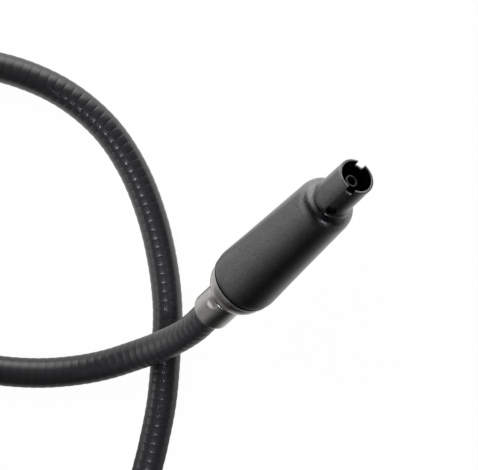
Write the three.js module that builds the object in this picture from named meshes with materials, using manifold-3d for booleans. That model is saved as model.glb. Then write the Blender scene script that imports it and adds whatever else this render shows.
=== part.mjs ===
// A mechanical cable shutter release, lying on a table.
//
// A thumb button at the hand end pushes a wire through a ribbed flexible sheath. At the camera
// end a turned coupling with a slotted nozzle is pushed over the camera's release post, and the
// wire drives a sprung pin out of that nozzle. The sheath lies in an open loop and holds the
// coupling up off the table by its own stiffness.
//
// Millimetres and degrees, +Z up, the table at z = 0. Every turned piece is drawn along its own
// axis, with its heights counted from the sheath side of the ferrule at its end of the sheath.

import * as THREE from 'three';
import { mergeVertices } from 'three/addons/utils/BufferGeometryUtils.js';
import Module from 'manifold-3d';

const wasm = await Module();
wasm.setup();

// ---------------------------------------------------------------- driving dimensions

const clearance = 0.3; // between pieces that seat on, or run in, each other

// sheath, conduit and wire
const sheathDiameter = 5.5;
const ribPitch = 1.65;
const ribHeight = 0.24;
const conduitWall = 0.35;
const wireDiameter = 1.1;

// ferrules
const ferruleDiameter = 7.1;
const ferruleLength = 6.6;
const ferruleEdgeRound = 0.45;
const ferruleNeckWall = 0.7;
const ferruleNeckLength = 4.1;
const crimpDiameter = 1.5;
const crimpDepth = 0.32;
const crimpSetback = 1.0; // from the ferrule's shoulder to the middle of the crimp mark
const crimpAngle = -19;

// domed end caps
const capRimInset = 0.18; // the cap's rim, inside the barrel that it meets
const capRimWidth = 0.45;
const capRimStep = 0.3; // from the rim in to the dome
const domeSetback = 0.95; // the dome's middle, behind the cap's rim
const conduitProud = 0.5; // how far the conduit reaches past the ferrule's neck

// coupling: tapered barrel, rounded shoulder and slotted nozzle
const barrelLength = 26.7;
const barrelRearRadius = 6.1;
const barrelRearRound = 0.12;
const barrelRearRoundLength = 0.95;
const barrelRearTaper = 0.33; // lost from the radius on the steeper rear stretch
const barrelRearTaperLength = 8.3;
const barrelFrontTaper = 0.66; // lost from the radius on the rest of the barrel
const barrelWall = 1.35; // round the swivel
const chamberRadius = 3.3;
const shoulderLength = 2.55;
const nozzleRootRadius = 3.4;
const nozzleRootFillet = 0.35;
const nozzleTaper = 0.1;
const nozzleLength = 8.5;
const nozzleWall = 0.47; // at the mouth
const lipBevel = 0.12;
const notchWidth = 1.4;
const notchDepth = 1.2;
const notchCornerRadius = 0.35;
const notchAngle = 18;

// swivel between the coupling and its cap
const journalLength = 5.6;
const swivelClipWidth = 0.6;
const swivelClipDepth = 0.7;
const swivelClipOpening = 50; // degrees of the circle that the clip leaves open
const swivelClipSetback = 1.1; // from the journal's end to the clip's groove
const noseLength = 5.6;

// guide bush, its grub screw and the release pin
const pinDiameter = 2.24;
const pinTravel = 7;
const pinRecess = 1.62; // the pin's end, inside the mouth, when it is drawn back
const pinTipWall = 0.32;
const pinTipBoreDepth = 1.5;
const pinFlangeWidth = 1.1;
const bushFlangeWidth = 1.0;
const bushLength = 5.6;
const bushFloor = 0.28; // metal left between the screw's hole and the pin's bore
const screwHoleDiameter = 1.62;
const screwHoleSetback = 1.6; // from the nozzle's root to the middle of the hole
const screwHoleAngle = 21;
const grubScrewRecess = 0.45; // the screw's end, below the nozzle's surface
const grubScrewSlotWidth = 0.25;
const grubScrewSlotDepth = 0.3;
const wireSleeveWall = 0.5;
const wireSleeveSetback = 1.4; // from the cap's inner step to the sleeve

// springs
const pinSpringWire = 0.4;
const pinSpringCurls = 8;
const pinSpringPlay = 0.5; // from the spring to the wall of its chamber
const buttonSpringWire = 0.5;
const buttonSpringCurls = 8;
const buttonSpringPlay = 0.75;

// hand piece
const handBarrelLength = 29.2;
const handBarrelTaper = 0.6;
const handBarrelWall = 1.5; // at the front
const handBarrelBevel = 0.35;
const gripGrooves = 3;
const gripGrooveWidth = 0.9;
const gripGrooveDepth = 0.35;
const gripGroovePitch = 2.6;
const gripStart = 6.5; // from the barrel's rear edge to the first groove
const handSpigotLength = 4.4;
const plateWidth = 27;
const plateRim = 0.3; // how far the plate's level edges stand proud of the barrel
const plateThickness = 1.8;
const plateBevel = 0.3;
const nutFlange = 0.8;
const nutLength = 3.0;
const nutSpigotLength = 8.3;
const nutTeeth = 18;
const knurlDepth = 0.22;

// plunger and thumb button
const buttonStandoff = 0.6; // left between button and nut when the button is down
const rodDiameter = 3.2;
const rodWall = 0.7;
const rodTailLength = 7.8; // rod behind the collar
const collarWidth = 1.5;
const buttonInset = 0.5; // the button's edge, above what the plate rests on
const buttonThickness = 2.6;
const buttonDish = 0.45;
const buttonRimWidth = 1.1;
const buttonEdgeRound = 0.8;
const buttonHubWall = 0.8;
const buttonHubLength = 0.9;
const buttonSocketDepth = 2.4;

// lock screw
const lockStemDiameter = 1.8;
const lockHeadRadius = 2.2;
const lockHeadLength = 2.6;
const lockHeadTeeth = 14;
const lockSlotWidth = 0.5;
const lockSlotDepth = 0.5;

// how everything lies on the table, counted from the middle of the picture
const headAzimuth = 43.7;
const headElevation = 47.7;
const headFerruleRim = [-4.93, -13.62, 22.4];
const handFerruleRim = [16.1, -81.4]; // its height is that of the finger plate

// The sheath's route between its two straight ends. A point with no height lies on the table.
const route = [
  [-10.3, -18.1, 14.8],
  [-14.4, -20.2, 10.7],
  [-19.1, -22.0, 7.3],
  [-24.3, -23.7, 4.9],
  [-29.9, -24.8, 3.4],
  [-36.5, -25.3],
  [-44.3, -24.8],
  [-53.9, -22.9],
  [-62.4, -20.4],
  [-70.2, -15.9],
  [-76.2, -9.3],
  [-79.7, -0.8],
  [-80.1, 8.3],
  [-77.6, 16.7],
  [-72.3, 24.1],
  [-64.8, 29.3],
  [-56.3, 31.7],
  [-46.4, 31.2],
  [-38.6, 29.1],
  [-31.1, 25.3],
  [-24.4, 19.5],
  [-19.5, 12.2],
  [-16.2, 4.1],
  [-14.1, -4.5],
  [-13.1, -13.3],
  [-13.4, -21.6],
  [-14.2, -30.7],
  [-15.8, -38.9],
  [-17.6, -46.7],
  [-18.1, -56.1],
  [-16.2, -64.0],
  [-12.2, -71.1, 3.4],
  [-6.2, -76.7, 4.7],
  [1.9, -80.3, 5.9],
];

// ---------------------------------------------------------------- finishes

const finish = (color, roughness, metalness) => () =>
  new THREE.MeshStandardMaterial({ color, roughness, metalness });

const satinBlack = finish(0x3a3b3c, 0.42, 0.6);
const satinNickel = finish(0x8c8c8b, 0.34, 0.9);
const sheathCover = finish(0x2b2b2d, 0.5, 0);
const steel = finish(0x9a9b9d, 0.35, 1);
const darkSteel = finish(0x4a4a4c, 0.4, 0.9);
const brass = finish(0xa88a4a, 0.4, 1);

// ---------------------------------------------------------------- shape helpers

const radians = THREE.MathUtils.degToRad;

// Points of an arc of an ellipse, its angles in degrees from the outward radius.
function arc([radius, height], [semiRadius, semiHeight], from, to, steps) {
  return Array.from({ length: steps + 1 }, (_, i) => {
    const angle = radians(from + ((to - from) * i) / steps);
    return [radius + semiRadius * Math.cos(angle), height + semiHeight * Math.sin(angle)];
  });
}

// A solid of revolution about Z from an outline of [radius, height] points.
function turned(outline, sides = 28) {
  const points = outline.map(([radius, height]) => new THREE.Vector2(radius, height));
  if (THREE.ShapeUtils.area(points) < 0) points.reverse();
  const endsOnAxis = points[0].x === 0 && points.at(-1).x === 0;
  if (!endsOnAxis) points.push(points[0].clone());
  return new THREE.LatheGeometry(points, sides).rotateX(Math.PI / 2);
}

// A plate of the given thickness, standing on z = 0, with its edges bevelled inwards.
function plate(shape, thickness, { bevel = 0, curveSegments = 6 } = {}) {
  const geometry = new THREE.ExtrudeGeometry(shape, {
    depth: thickness - 2 * bevel,
    bevelEnabled: bevel > 0,
    bevelThickness: bevel,
    bevelSize: bevel,
    bevelOffset: -bevel,
    bevelSegments: 1,
    curveSegments,
  });
  return geometry.translate(0, 0, bevel);
}

// A knurled disc's outline: straight-sided teeth round a circle.
function knurledShape(radius, teeth) {
  const points = Array.from({ length: 2 * teeth }, (_, i) => {
    const angle = (Math.PI * i) / teeth;
    const reach = i % 2 ? radius - knurlDepth : radius;
    return new THREE.Vector2(reach * Math.cos(angle), reach * Math.sin(angle));
  });
  return new THREE.Shape(points);
}

function toManifold(geometry) {
  const bare = geometry.clone();
  bare.deleteAttribute('normal');
  bare.deleteAttribute('uv');
  const merged = mergeVertices(bare, 1e-4);
  const mesh = new wasm.Mesh({
    numProp: 3,
    vertProperties: new Float32Array(merged.attributes.position.array),
    triVerts: new Uint32Array(merged.index.array),
  });
  return new wasm.Manifold(mesh);
}

function toGeometry(manifold) {
  const { vertProperties, triVerts } = manifold.getMesh();
  const geometry = new THREE.BufferGeometry();
  geometry.setAttribute('position', new THREE.BufferAttribute(vertProperties, 3));
  geometry.setIndex(new THREE.BufferAttribute(triVerts, 1));
  geometry.computeVertexNormals();
  return geometry;
}

function cut(geometry, ...cutters) {
  const left = cutters.reduce((body, cutter) => body.subtract(toManifold(cutter)), toManifold(geometry));
  return toGeometry(left);
}

function join(geometry, other) {
  return toGeometry(toManifold(geometry).add(toManifold(other)));
}

// A cylinder lying along the radius at the given angle, from one radius out to another.
function radialCylinder({ diameter, from, to, height, angle = 0, sides = 14 }) {
  return new THREE.CylinderGeometry(diameter / 2, diameter / 2, to - from, sides)
    .rotateZ(Math.PI / 2)
    .translate((from + to) / 2, 0, height)
    .rotateZ(radians(angle));
}

// A closed skin over rings of points, each ring joined to the next. The rings of a tube with a
// bore run along its outside and back along its bore, and the last joins the first. Those of a
// solid rod end in flat caps.
function skin(rings, { hollow }) {
  const sides = rings[0].length;
  const positions = rings.flat().flatMap((point) => point.toArray());
  const at = (ring, side) => (ring % rings.length) * sides + (side % sides);
  const triangles = [];
  const spans = hollow ? rings.length : rings.length - 1;
  for (let ring = 0; ring < spans; ring += 1) {
    for (let side = 0; side < sides; side += 1) {
      const [a, b] = [at(ring, side), at(ring, side + 1)];
      const [c, d] = [at(ring + 1, side), at(ring + 1, side + 1)];
      triangles.push(a, b, d, a, d, c);
    }
  }
  const end = rings.length - 1;
  for (let side = 1; !hollow && side < sides - 1; side += 1) {
    triangles.push(at(0, 0), at(0, side + 1), at(0, side));
    triangles.push(at(end, 0), at(end, side), at(end, side + 1));
  }
  const geometry = new THREE.BufferGeometry();
  geometry.setAttribute('position', new THREE.Float32BufferAttribute(positions, 3));
  geometry.setIndex(triangles);
  geometry.computeVertexNormals();
  return geometry;
}

// A ring of points round a place on a line. On a level line one of its flats faces down.
function ringRound({ point, forward }, radius, sides) {
  const side = new THREE.Vector3(0, 0, 1).cross(forward).normalize();
  const up = new THREE.Vector3().crossVectors(forward, side);
  return Array.from({ length: sides }, (_, i) => {
    const angle = (2 * Math.PI * (i + 0.5)) / sides;
    const sideways = radius * Math.cos(angle);
    return point.clone().addScaledVector(side, sideways).addScaledVector(up, radius * Math.sin(angle));
  });
}

// The least gap that a tube leaves to itself, measured on points along its middle line. Points
// closer together along the line than `apart` steps are neighbours and don't count.
function leastSelfGap(points, diameter, apart) {
  let least = Infinity;
  for (let i = 0; i < points.length; i += 1) {
    for (let j = i + apart; j < points.length; j += 1) {
      least = Math.min(least, points[i].distanceTo(points[j]));
    }
  }
  return least - diameter;
}

// A compression spring: one unbroken tube with 5 sides and 8 steps to each curl.
function coilSpring(name, { meanRadius, wire, from, to, curls }) {
  const stepsPerCurl = 8;
  const steps = curls * stepsPerCurl;
  const rise = to - from - wire;
  const angleAt = (step) => (2 * Math.PI * step) / stepsPerCurl;
  const middle = Array.from({ length: steps + 1 }, (_, step) => {
    const height = from + wire / 2 + (rise * step) / steps;
    return new THREE.Vector3(meanRadius, 0, height).applyAxisAngle(new THREE.Vector3(0, 0, 1), angleAt(step));
  });
  const rings = middle.map((point, step) => {
    const outward = new THREE.Vector3(Math.cos(angleAt(step)), Math.sin(angleAt(step)), 0);
    return Array.from({ length: 5 }, (_, side) => {
      const turn = (-2 * Math.PI * side) / 5;
      const lift = new THREE.Vector3(0, 0, (wire / 2) * Math.sin(turn));
      return point.clone().addScaledVector(outward, (wire / 2) * Math.cos(turn)).add(lift);
    });
  });
  const gap = leastSelfGap(middle, wire, stepsPerCurl - 2);
  console.log(`${name}: least gap between curls ${gap.toFixed(2)} mm`);
  return skin(rings, { hollow: false });
}

// ---------------------------------------------------------------- wire, conduit and sheath radii

// Rings with few sides cut inside their circle, so a bore is opened by as much.
const sheathSides = 8;
const conduitSides = 6;
const flatShare = (sides) => Math.cos(Math.PI / sides);

const wireRadius = wireDiameter / 2;
const conduitBoreRadius = (wireRadius + clearance) / flatShare(conduitSides);
const conduitRadius = conduitBoreRadius + conduitWall;
const boreRadius = (conduitRadius + clearance) / flatShare(sheathSides);
const crestRadius = sheathDiameter / 2;
const restHeight = crestRadius * flatShare(sheathSides); // the sheath's middle, lying on the table

// ---------------------------------------------------------------- stations along each end

const ferruleRadius = ferruleDiameter / 2;
const ferruleNeckRadius = boreRadius + ferruleNeckWall;
const ferruleNeckEnd = ferruleLength + ferruleNeckLength;
const capRimRadius = barrelRearRadius - capRimInset;
const domeRadius = capRimRadius - capRimStep;
const capRear = ferruleLength + clearance;
const domeMiddle = capRear + Math.sqrt(domeRadius ** 2 - ferruleRadius ** 2);
const capRim = domeMiddle + domeSetback;
const conduitEnd = ferruleNeckEnd + conduitProud;
const capStep = conduitEnd + clearance; // the inner step that the conduit bears on

// camera end
const barrelRear = capRim + clearance;
const shoulder = barrelRear + barrelLength;
const nozzleRoot = shoulder + shoulderLength;
const mouth = nozzleRoot + nozzleLength;
const journalEnd = capRim + journalLength;
const noseEnd = journalEnd + noseLength;
const screwHole = nozzleRoot + screwHoleSetback;

const barrelBreakRadius = barrelRearRadius - barrelRearTaper;
const barrelFrontRadius = barrelBreakRadius - barrelFrontTaper;
const nozzleMouthRadius = nozzleRootRadius - nozzleTaper;
const socketRadius = nozzleMouthRadius - nozzleWall;
const journalWay = barrelRearRadius - barrelWall;
const journalRadius = journalWay - clearance;
const noseRadius = chamberRadius - clearance;

const clipRadius = (journalWay + journalRadius) / 2;
const clip = {
  inner: clipRadius - swivelClipDepth / 2,
  outer: clipRadius + swivelClipDepth / 2,
  to: journalEnd - swivelClipSetback,
  from: journalEnd - swivelClipSetback - swivelClipWidth,
};

const pinRadius = pinDiameter / 2;
const pinFlange = { rear: noseEnd + clearance, front: noseEnd + clearance + pinFlangeWidth };
const pinTip = mouth - pinRecess;
const bushBore = pinRadius + clearance;
const bushRadius = socketRadius - clearance;
const bushFlange = { rear: shoulder - clearance - bushFlangeWidth, front: shoulder - clearance };
const bushFront = bushFlange.front + bushLength;
const grubScrew = {
  from: bushBore + bushFloor + clearance,
  to: nozzleRootRadius - grubScrewRecess,
};
const sleeveBore = wireRadius + clearance;
const sleeveRadius = sleeveBore + wireSleeveWall;
const throatRadius = sleeveRadius + clearance;
const sleeveRear = capStep + wireSleeveSetback;

// hand end
const handBarrelRearRadius = barrelRearRadius;
const handBarrelFrontRadius = handBarrelRearRadius - handBarrelTaper;
const handBore = handBarrelFrontRadius - handBarrelWall;
const handSpigotRadius = handBore - clearance;
const spigotEnd = capRim + handSpigotLength;
const handBarrelFront = barrelRear + handBarrelLength;
const plateRear = handBarrelFront + clearance;
const plateHeight = 2 * (handBarrelRearRadius + plateRim);
const nutRear = plateRear + plateThickness + clearance;
const nutFront = nutRear + nutLength;
const nutInner = nutRear - nutSpigotLength;
const lockStation = (nutInner + plateRear) / 2;

const rodRadius = rodDiameter / 2;
const rodWay = rodRadius + clearance;
const rodBore = rodRadius - rodWall;
const buttonRadius = plateHeight / 2 - buttonInset;
const buttonHub = nutFront + pinTravel + buttonStandoff;
const buttonRear = buttonHub + buttonHubLength;
const buttonTop = buttonRear + buttonThickness;
const collarFront = nutInner - clearance;
const collarRear = collarFront - collarWidth;
const rodRear = collarRear - rodTailLength;
const rodFront = buttonHub + buttonSocketDepth - clearance;
const wireStop = collarRear; // the wire ends here, inside the hollow rod

const handRadiusAt = (station) =>
  handBarrelRearRadius - (handBarrelTaper * (station - barrelRear)) / handBarrelLength;

// ---------------------------------------------------------------- pieces that both ends have

// A ferrule on the sheath's end, with a neck that plugs into the cap and one crimp mark.
function ferrule() {
  const round = ferruleEdgeRound;
  const body = turned([
    [boreRadius, 0],
    ...arc([ferruleRadius - round, round], [round, round], -90, 0, 2),
    [ferruleRadius, ferruleLength],
    [ferruleNeckRadius, ferruleLength],
    [ferruleNeckRadius, ferruleNeckEnd],
    [boreRadius, ferruleNeckEnd],
  ]);
  const ballRadius = (crimpDiameter ** 2 / 4 + crimpDepth ** 2) / (2 * crimpDepth);
  const ball = new THREE.SphereGeometry(ballRadius, 16, 10)
    .translate(ferruleRadius - crimpDepth + ballRadius, 0, ferruleLength - crimpSetback)
    .rotateZ(radians(crimpAngle));
  return cut(body, ball);
}

// A domed end cap on a bored spigot. The spigot's outline runs from the rim to the bore's mouth.
function domedCap(spigot, bore) {
  const domeEdge = THREE.MathUtils.radToDeg(Math.asin((capRear - domeMiddle) / domeRadius));
  const neckWay = ferruleNeckRadius + clearance;
  return turned([
    [neckWay, capRear],
    ...arc([0, domeMiddle], [domeRadius, domeRadius], domeEdge, 0, 6),
    [capRimRadius, capRim - capRimWidth],
    [capRimRadius, capRim],
    ...spigot,
    [bore, capStep],
    [neckWay, capStep],
  ]);
}

// ---------------------------------------------------------------- camera end

// The cap's long journal is what the coupling turns on.
function endCap() {
  const groove = clip.inner - clearance;
  const journalAndNose = [
    [journalRadius, capRim],
    [journalRadius, clip.from - clearance],
    [groove, clip.from - clearance],
    [groove, clip.to + clearance],
    [journalRadius, clip.to + clearance],
    [journalRadius, journalEnd],
    [noseRadius, journalEnd],
    [noseRadius, noseEnd],
    [throatRadius, noseEnd],
  ];
  return domedCap(journalAndNose, throatRadius);
}

// An open ring in both grooves, which keeps the coupling on the cap and lets it turn.
function swivelClip() {
  const half = radians(swivelClipOpening / 2);
  const shape = new THREE.Shape();
  shape.absarc(0, 0, clip.outer, half, 2 * Math.PI - half, false);
  shape.absarc(0, 0, clip.inner, 2 * Math.PI - half, half, true);
  return plate(shape, swivelClipWidth, { curveSegments: 16 }).translate(0, 0, clip.from);
}

// Barrel, shoulder and nozzle are one turning, bored for the swivel, the spring and the bush.
function couplingBody() {
  const groove = clip.outer + clearance;
  const fillet = nozzleRootFillet;
  const shoulderWidth = barrelFrontRadius - nozzleRootRadius - fillet;
  const body = turned(
    [
      [journalWay, barrelRear],
      [barrelRearRadius - barrelRearRound, barrelRear],
      [barrelRearRadius - barrelRearRound / 3, barrelRear + barrelRearRoundLength / 2],
      [barrelRearRadius, barrelRear + barrelRearRoundLength],
      [barrelBreakRadius, barrelRear + barrelRearTaperLength],
      ...arc([barrelFrontRadius - shoulderWidth, shoulder], [shoulderWidth, shoulderLength], 0, 80, 5),
      ...arc([nozzleRootRadius + fillet, nozzleRoot + fillet], [fillet, fillet], 240, 180, 2),
      [nozzleMouthRadius, mouth - lipBevel],
      [nozzleMouthRadius - lipBevel, mouth],
      [socketRadius, mouth],
      [socketRadius, shoulder],
      [chamberRadius, shoulder],
      [chamberRadius, journalEnd + clearance],
      [journalWay, journalEnd + clearance],
      [journalWay, clip.to + clearance],
      [groove, clip.to + clearance],
      [groove, clip.from - clearance],
      [journalWay, clip.from - clearance],
    ],
    34,
  );
  return cut(body, mouthNotches(), screwHoleThrough());
}

// One slot milled across the mouth leaves two opposite notches with rounded floors.
function mouthNotches() {
  const half = notchWidth / 2;
  const floor = mouth - notchDepth;
  const round = notchCornerRadius;
  const shape = new THREE.Shape();
  shape.moveTo(half, mouth + notchDepth);
  shape.lineTo(-half, mouth + notchDepth);
  shape.lineTo(-half, floor + round);
  shape.absarc(round - half, floor + round, round, Math.PI, 1.5 * Math.PI, false);
  shape.absarc(half - round, floor + round, round, 1.5 * Math.PI, 2 * Math.PI, false);
  const across = 4 * nozzleMouthRadius;
  return plate(shape, across, { curveSegments: 2 })
    .translate(0, 0, -across / 2)
    .rotateX(Math.PI / 2)
    .rotateZ(Math.PI / 2 + radians(notchAngle));
}

// The hole drilled through the nozzle's wall and on into the bush, for the grub screw.
function screwHoleThrough() {
  return radialCylinder({
    diameter: screwHoleDiameter,
    from: bushBore + bushFloor,
    to: barrelFrontRadius,
    height: screwHole,
    angle: screwHoleAngle,
  });
}

function guideBush() {
  const body = turned(
    [
      [bushBore, bushFlange.rear],
      [noseRadius, bushFlange.rear],
      [noseRadius, bushFlange.front],
      [bushRadius, bushFlange.front],
      [bushRadius, bushFront - lipBevel],
      [bushRadius - lipBevel, bushFront],
      [bushBore, bushFront],
    ],
    22,
  );
  return cut(body, screwHoleThrough());
}

function bushGrubScrew() {
  const diameter = screwHoleDiameter - 2 * clearance;
  const body = radialCylinder({ diameter, ...grubScrew, height: screwHole, sides: 12 });
  const slot = new THREE.BoxGeometry(2 * grubScrewSlotDepth, 2 * diameter, grubScrewSlotWidth);
  return cut(body, slot.translate(grubScrew.to, 0, screwHole)).rotateZ(radians(screwHoleAngle));
}

function releasePin() {
  const tipBore = pinRadius - pinTipWall;
  return turned(
    [
      [0, pinFlange.rear],
      [noseRadius, pinFlange.rear],
      [noseRadius, pinFlange.front],
      [pinRadius, pinFlange.front],
      [pinRadius, pinTip],
      [tipBore, pinTip],
      [tipBore, pinTip - pinTipBoreDepth],
      [0, pinTip - pinTipBoreDepth - tipBore / 2],
    ],
    18,
  );
}

// The sleeve that the wire's end is fixed in, behind the pin.
function pinWireSleeve() {
  return turned(
    [
      [sleeveBore, sleeveRear],
      [sleeveRadius, sleeveRear],
      [sleeveRadius, noseEnd],
      [0, noseEnd],
      [0, noseEnd - clearance],
      [sleeveBore, noseEnd - clearance],
    ],
    12,
  );
}

function pinSpring() {
  return coilSpring('pin_spring', {
    meanRadius: chamberRadius - pinSpringPlay - pinSpringWire / 2,
    wire: pinSpringWire,
    from: pinFlange.front + clearance,
    to: bushFlange.rear - clearance,
    curls: pinSpringCurls,
  });
}

// ---------------------------------------------------------------- hand piece

function handCap() {
  const spigot = [
    [handSpigotRadius, capRim],
    [handSpigotRadius, spigotEnd],
    [rodWay, spigotEnd],
  ];
  return domedCap(spigot, rodWay);
}

function gripGroove(index) {
  const start = barrelRear + gripStart + index * gripGroovePitch;
  const end = start + gripGrooveWidth;
  const slope = gripGrooveWidth / 4;
  return [
    [handRadiusAt(start), start],
    [handRadiusAt(start) - gripGrooveDepth, start + slope],
    [handRadiusAt(end) - gripGrooveDepth, end - slope],
    [handRadiusAt(end), end],
  ];
}

function handBarrel() {
  const tube = turned([
    [handBore, barrelRear],
    [handBarrelRearRadius - handBarrelBevel, barrelRear],
    [handBarrelRearRadius, barrelRear + handBarrelBevel],
    ...Array.from({ length: gripGrooves }, (_, index) => gripGroove(index)).flat(),
    [handBarrelFrontRadius, handBarrelFront - handBarrelBevel],
    [handBarrelFrontRadius - handBarrelBevel, handBarrelFront],
    [handBore, handBarrelFront],
  ]);
  return cut(tube, lockHole());
}

// The lock screw's hole, through the barrel and the nut's spigot into the rod's bore.
function lockHole() {
  return radialCylinder({
    diameter: lockStemDiameter + 2 * clearance,
    from: rodWay / 2,
    to: 2 * handBarrelRearRadius,
    height: lockStation,
  });
}

// The finger plate: a plate with round ends, whose two long edges lie level.
function fingerPlate() {
  const round = plateHeight / 2;
  const reach = plateWidth / 2 - round;
  const shape = new THREE.Shape();
  shape.absarc(0, reach, round, 0, Math.PI, false);
  shape.absarc(0, -reach, round, Math.PI, 2 * Math.PI, false);
  shape.holes.push(circle(handBore));
  const body = plate(shape, plateThickness, { bevel: plateBevel, curveSegments: 10 });
  return body.translate(0, 0, plateRear);
}

function circle(radius) {
  return new THREE.Path().absarc(0, 0, radius, 0, 2 * Math.PI, true);
}

// The guide nut clamps the finger plate to the barrel, and the rod runs in its bore.
function guideNut() {
  const flange = knurledShape(handBore + nutFlange, nutTeeth);
  flange.holes.push(circle(rodWay + plateBevel));
  const seam = nutLength / 2; // flange and spigot are joined over this much of the nut
  const core = turned([
    [rodWay, nutInner],
    [handSpigotRadius, nutInner],
    [handSpigotRadius, nutRear + seam],
    [rodWay + 2 * plateBevel, nutFront],
    [rodWay + plateBevel, nutFront],
    [rodWay, nutFront - plateBevel],
  ]);
  const whole = join(plate(flange, nutLength, { curveSegments: 9 }).translate(0, 0, nutRear), core);
  return cut(whole, lockHole());
}

function plungerRod() {
  const boreEnd = wireStop + pinTravel + clearance;
  return turned(
    [
      [rodBore, rodRear],
      [rodRadius, rodRear],
      [rodRadius, rodFront],
      [0, rodFront],
      [0, boreEnd],
      [rodBore, boreEnd],
    ],
    18,
  );
}

function plungerCollar() {
  const bore = rodRadius + clearance / 2;
  return turned(
    [
      [bore, collarRear],
      [handSpigotRadius, collarRear],
      [handSpigotRadius, collarFront],
      [bore, collarFront],
    ],
    20,
  );
}

// The button is dished for the thumb and fixed on the rod's end.
function thumbButton() {
  const round = buttonEdgeRound;
  const dishRadius = buttonRadius - buttonRimWidth;
  const dishSteps = 3;
  const dish = Array.from({ length: dishSteps + 1 }, (_, i) => {
    const share = 1 - i / dishSteps;
    return [dishRadius * share, buttonTop - buttonDish * (1 - share ** 2)];
  });
  return turned([
    [0, rodFront + clearance],
    [rodWay, rodFront + clearance],
    [rodWay, buttonHub],
    [rodWay + buttonHubWall, buttonHub],
    [rodWay + buttonHubWall, buttonRear],
    [buttonRadius - round / 2, buttonRear],
    [buttonRadius, buttonRear + round / 2],
    ...arc([buttonRadius - round, buttonTop - round], [round, round], 0, 90, 2),
    ...dish,
  ]);
}

function buttonSpring() {
  return coilSpring('button_spring', {
    meanRadius: handBore - buttonSpringPlay - buttonSpringWire / 2,
    wire: buttonSpringWire,
    from: spigotEnd + clearance,
    to: collarRear - clearance,
    curls: buttonSpringCurls,
  });
}

// The lock screw stands on top of the barrel, and its tip bears on the rod when it is turned in.
function lockScrew() {
  const radius = lockStemDiameter / 2;
  const tip = rodWay + clearance / 2;
  const seat = handRadiusAt(lockStation) + clearance;
  const end = seat + lockHeadLength / 2; // the stem runs on into its head
  const stem = new THREE.CylinderGeometry(radius, radius, end - tip, 14)
    .rotateX(Math.PI / 2)
    .translate(0, 0, (end + tip) / 2);
  const head = plate(knurledShape(lockHeadRadius, lockHeadTeeth), lockHeadLength);
  const slot = new THREE.BoxGeometry(4 * lockHeadRadius, lockSlotWidth, 2 * lockSlotDepth);
  const screw = join(stem, head.translate(0, 0, seat));
  return cut(screw, slot.translate(0, 0, seat + lockHeadLength))
    .rotateY(Math.PI / 2)
    .translate(0, 0, lockStation);
}

// ---------------------------------------------------------------- sheath, conduit and wire

const headDirection = new THREE.Vector3(1, 0, 0)
  .applyAxisAngle(new THREE.Vector3(0, -1, 0), radians(headElevation))
  .applyAxisAngle(new THREE.Vector3(0, 0, 1), radians(headAzimuth));
const handDirection = new THREE.Vector3(1, 0, 0);
const headRim = new THREE.Vector3(...headFerruleRim);
const handRim = new THREE.Vector3(...handFerruleRim, plateHeight / 2);
const exitLength = sheathDiameter; // the sheath runs straight out of each ferrule

// Three points on the straight stretch at one end of the sheath, from the ferrule outwards.
function straightExit(rim, direction) {
  return [0, exitLength / 2, exitLength].map((reach) =>
    rim.clone().addScaledVector(direction, -clearance - reach),
  );
}

const sheathCurve = new THREE.CatmullRomCurve3(
  [
    ...straightExit(headRim, headDirection),
    ...route.map(([x, y, z = restHeight]) => new THREE.Vector3(x, y, z)),
    ...straightExit(handRim, handDirection).reverse(),
  ],
  false,
  'centripetal',
);
sheathCurve.arcLengthDivisions = 1500;
const sheathLength = sheathCurve.getLength();
const ribs = Math.round(sheathLength / ribPitch);
const ribsPerBoreRing = 5;

function placeOnSheath(share) {
  return { point: sheathCurve.getPointAt(share), forward: sheathCurve.getTangentAt(share) };
}

// Where along the sheath its bore, the conduit and the wire have their rings.
const boreShares = Array.from({ length: Math.ceil(ribs / ribsPerBoreRing) + 1 }, (_, i) =>
  Math.min(1, (i * ribsPerBoreRing) / ribs),
);

// The ribbed cover: each rib is a ring in its valley and one on its crest.
function sheath() {
  const ribRings = Array.from({ length: ribs }, (_, i) => [
    ringRound(placeOnSheath(i / ribs), crestRadius - ribHeight, sheathSides),
    ringRound(placeOnSheath((i + 0.5) / ribs), crestRadius, sheathSides),
  ]).flat();
  const lastRing = ringRound(placeOnSheath(1), crestRadius - ribHeight, sheathSides);
  const boreRings = boreShares.map((share) => ringRound(placeOnSheath(share), boreRadius, sheathSides));
  return skin([...ribRings, lastRing, ...boreRings.reverse()], { hollow: true });
}

function printSheathFigures() {
  const middle = Array.from({ length: ribs + 1 }, (_, i) => sheathCurve.getPointAt(i / ribs));
  const neighbours = Math.ceil((2 * Math.PI * sheathDiameter) / ribPitch); // ribs, one way along
  const gap = leastSelfGap(middle, sheathDiameter, neighbours);
  const turns = middle.map((_, i) => sheathCurve.getTangentAt(i / ribs));
  const bends = turns.slice(1).map((turn, i) => sheathLength / ribs / turn.angleTo(turns[i]));
  console.log(`sheath: ${sheathLength.toFixed(1)} mm long with ${ribs} ribs`);
  console.log(`sheath: least gap to itself ${gap.toFixed(2)} mm`);
  console.log(`sheath: tightest bend ${Math.min(...bends).toFixed(1)} mm`);
}

// Places along the sheath, and straight on past its two ends into the head and the hand piece.
function innerPlaces(pastHead, pastHand) {
  const beyond = ({ point, forward }, reach) => ({
    point: point.clone().addScaledVector(forward, reach),
    forward,
  });
  return [
    beyond(placeOnSheath(0), -clearance - pastHead),
    ...boreShares.map(placeOnSheath),
    beyond(placeOnSheath(1), clearance + pastHand),
  ];
}

function conduit() {
  const places = innerPlaces(conduitEnd, conduitEnd);
  const outside = places.map((place) => ringRound(place, conduitRadius, conduitSides));
  const inside = places.map((place) => ringRound(place, conduitBoreRadius, conduitSides));
  return skin([...outside, ...inside.reverse()], { hollow: true });
}

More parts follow.
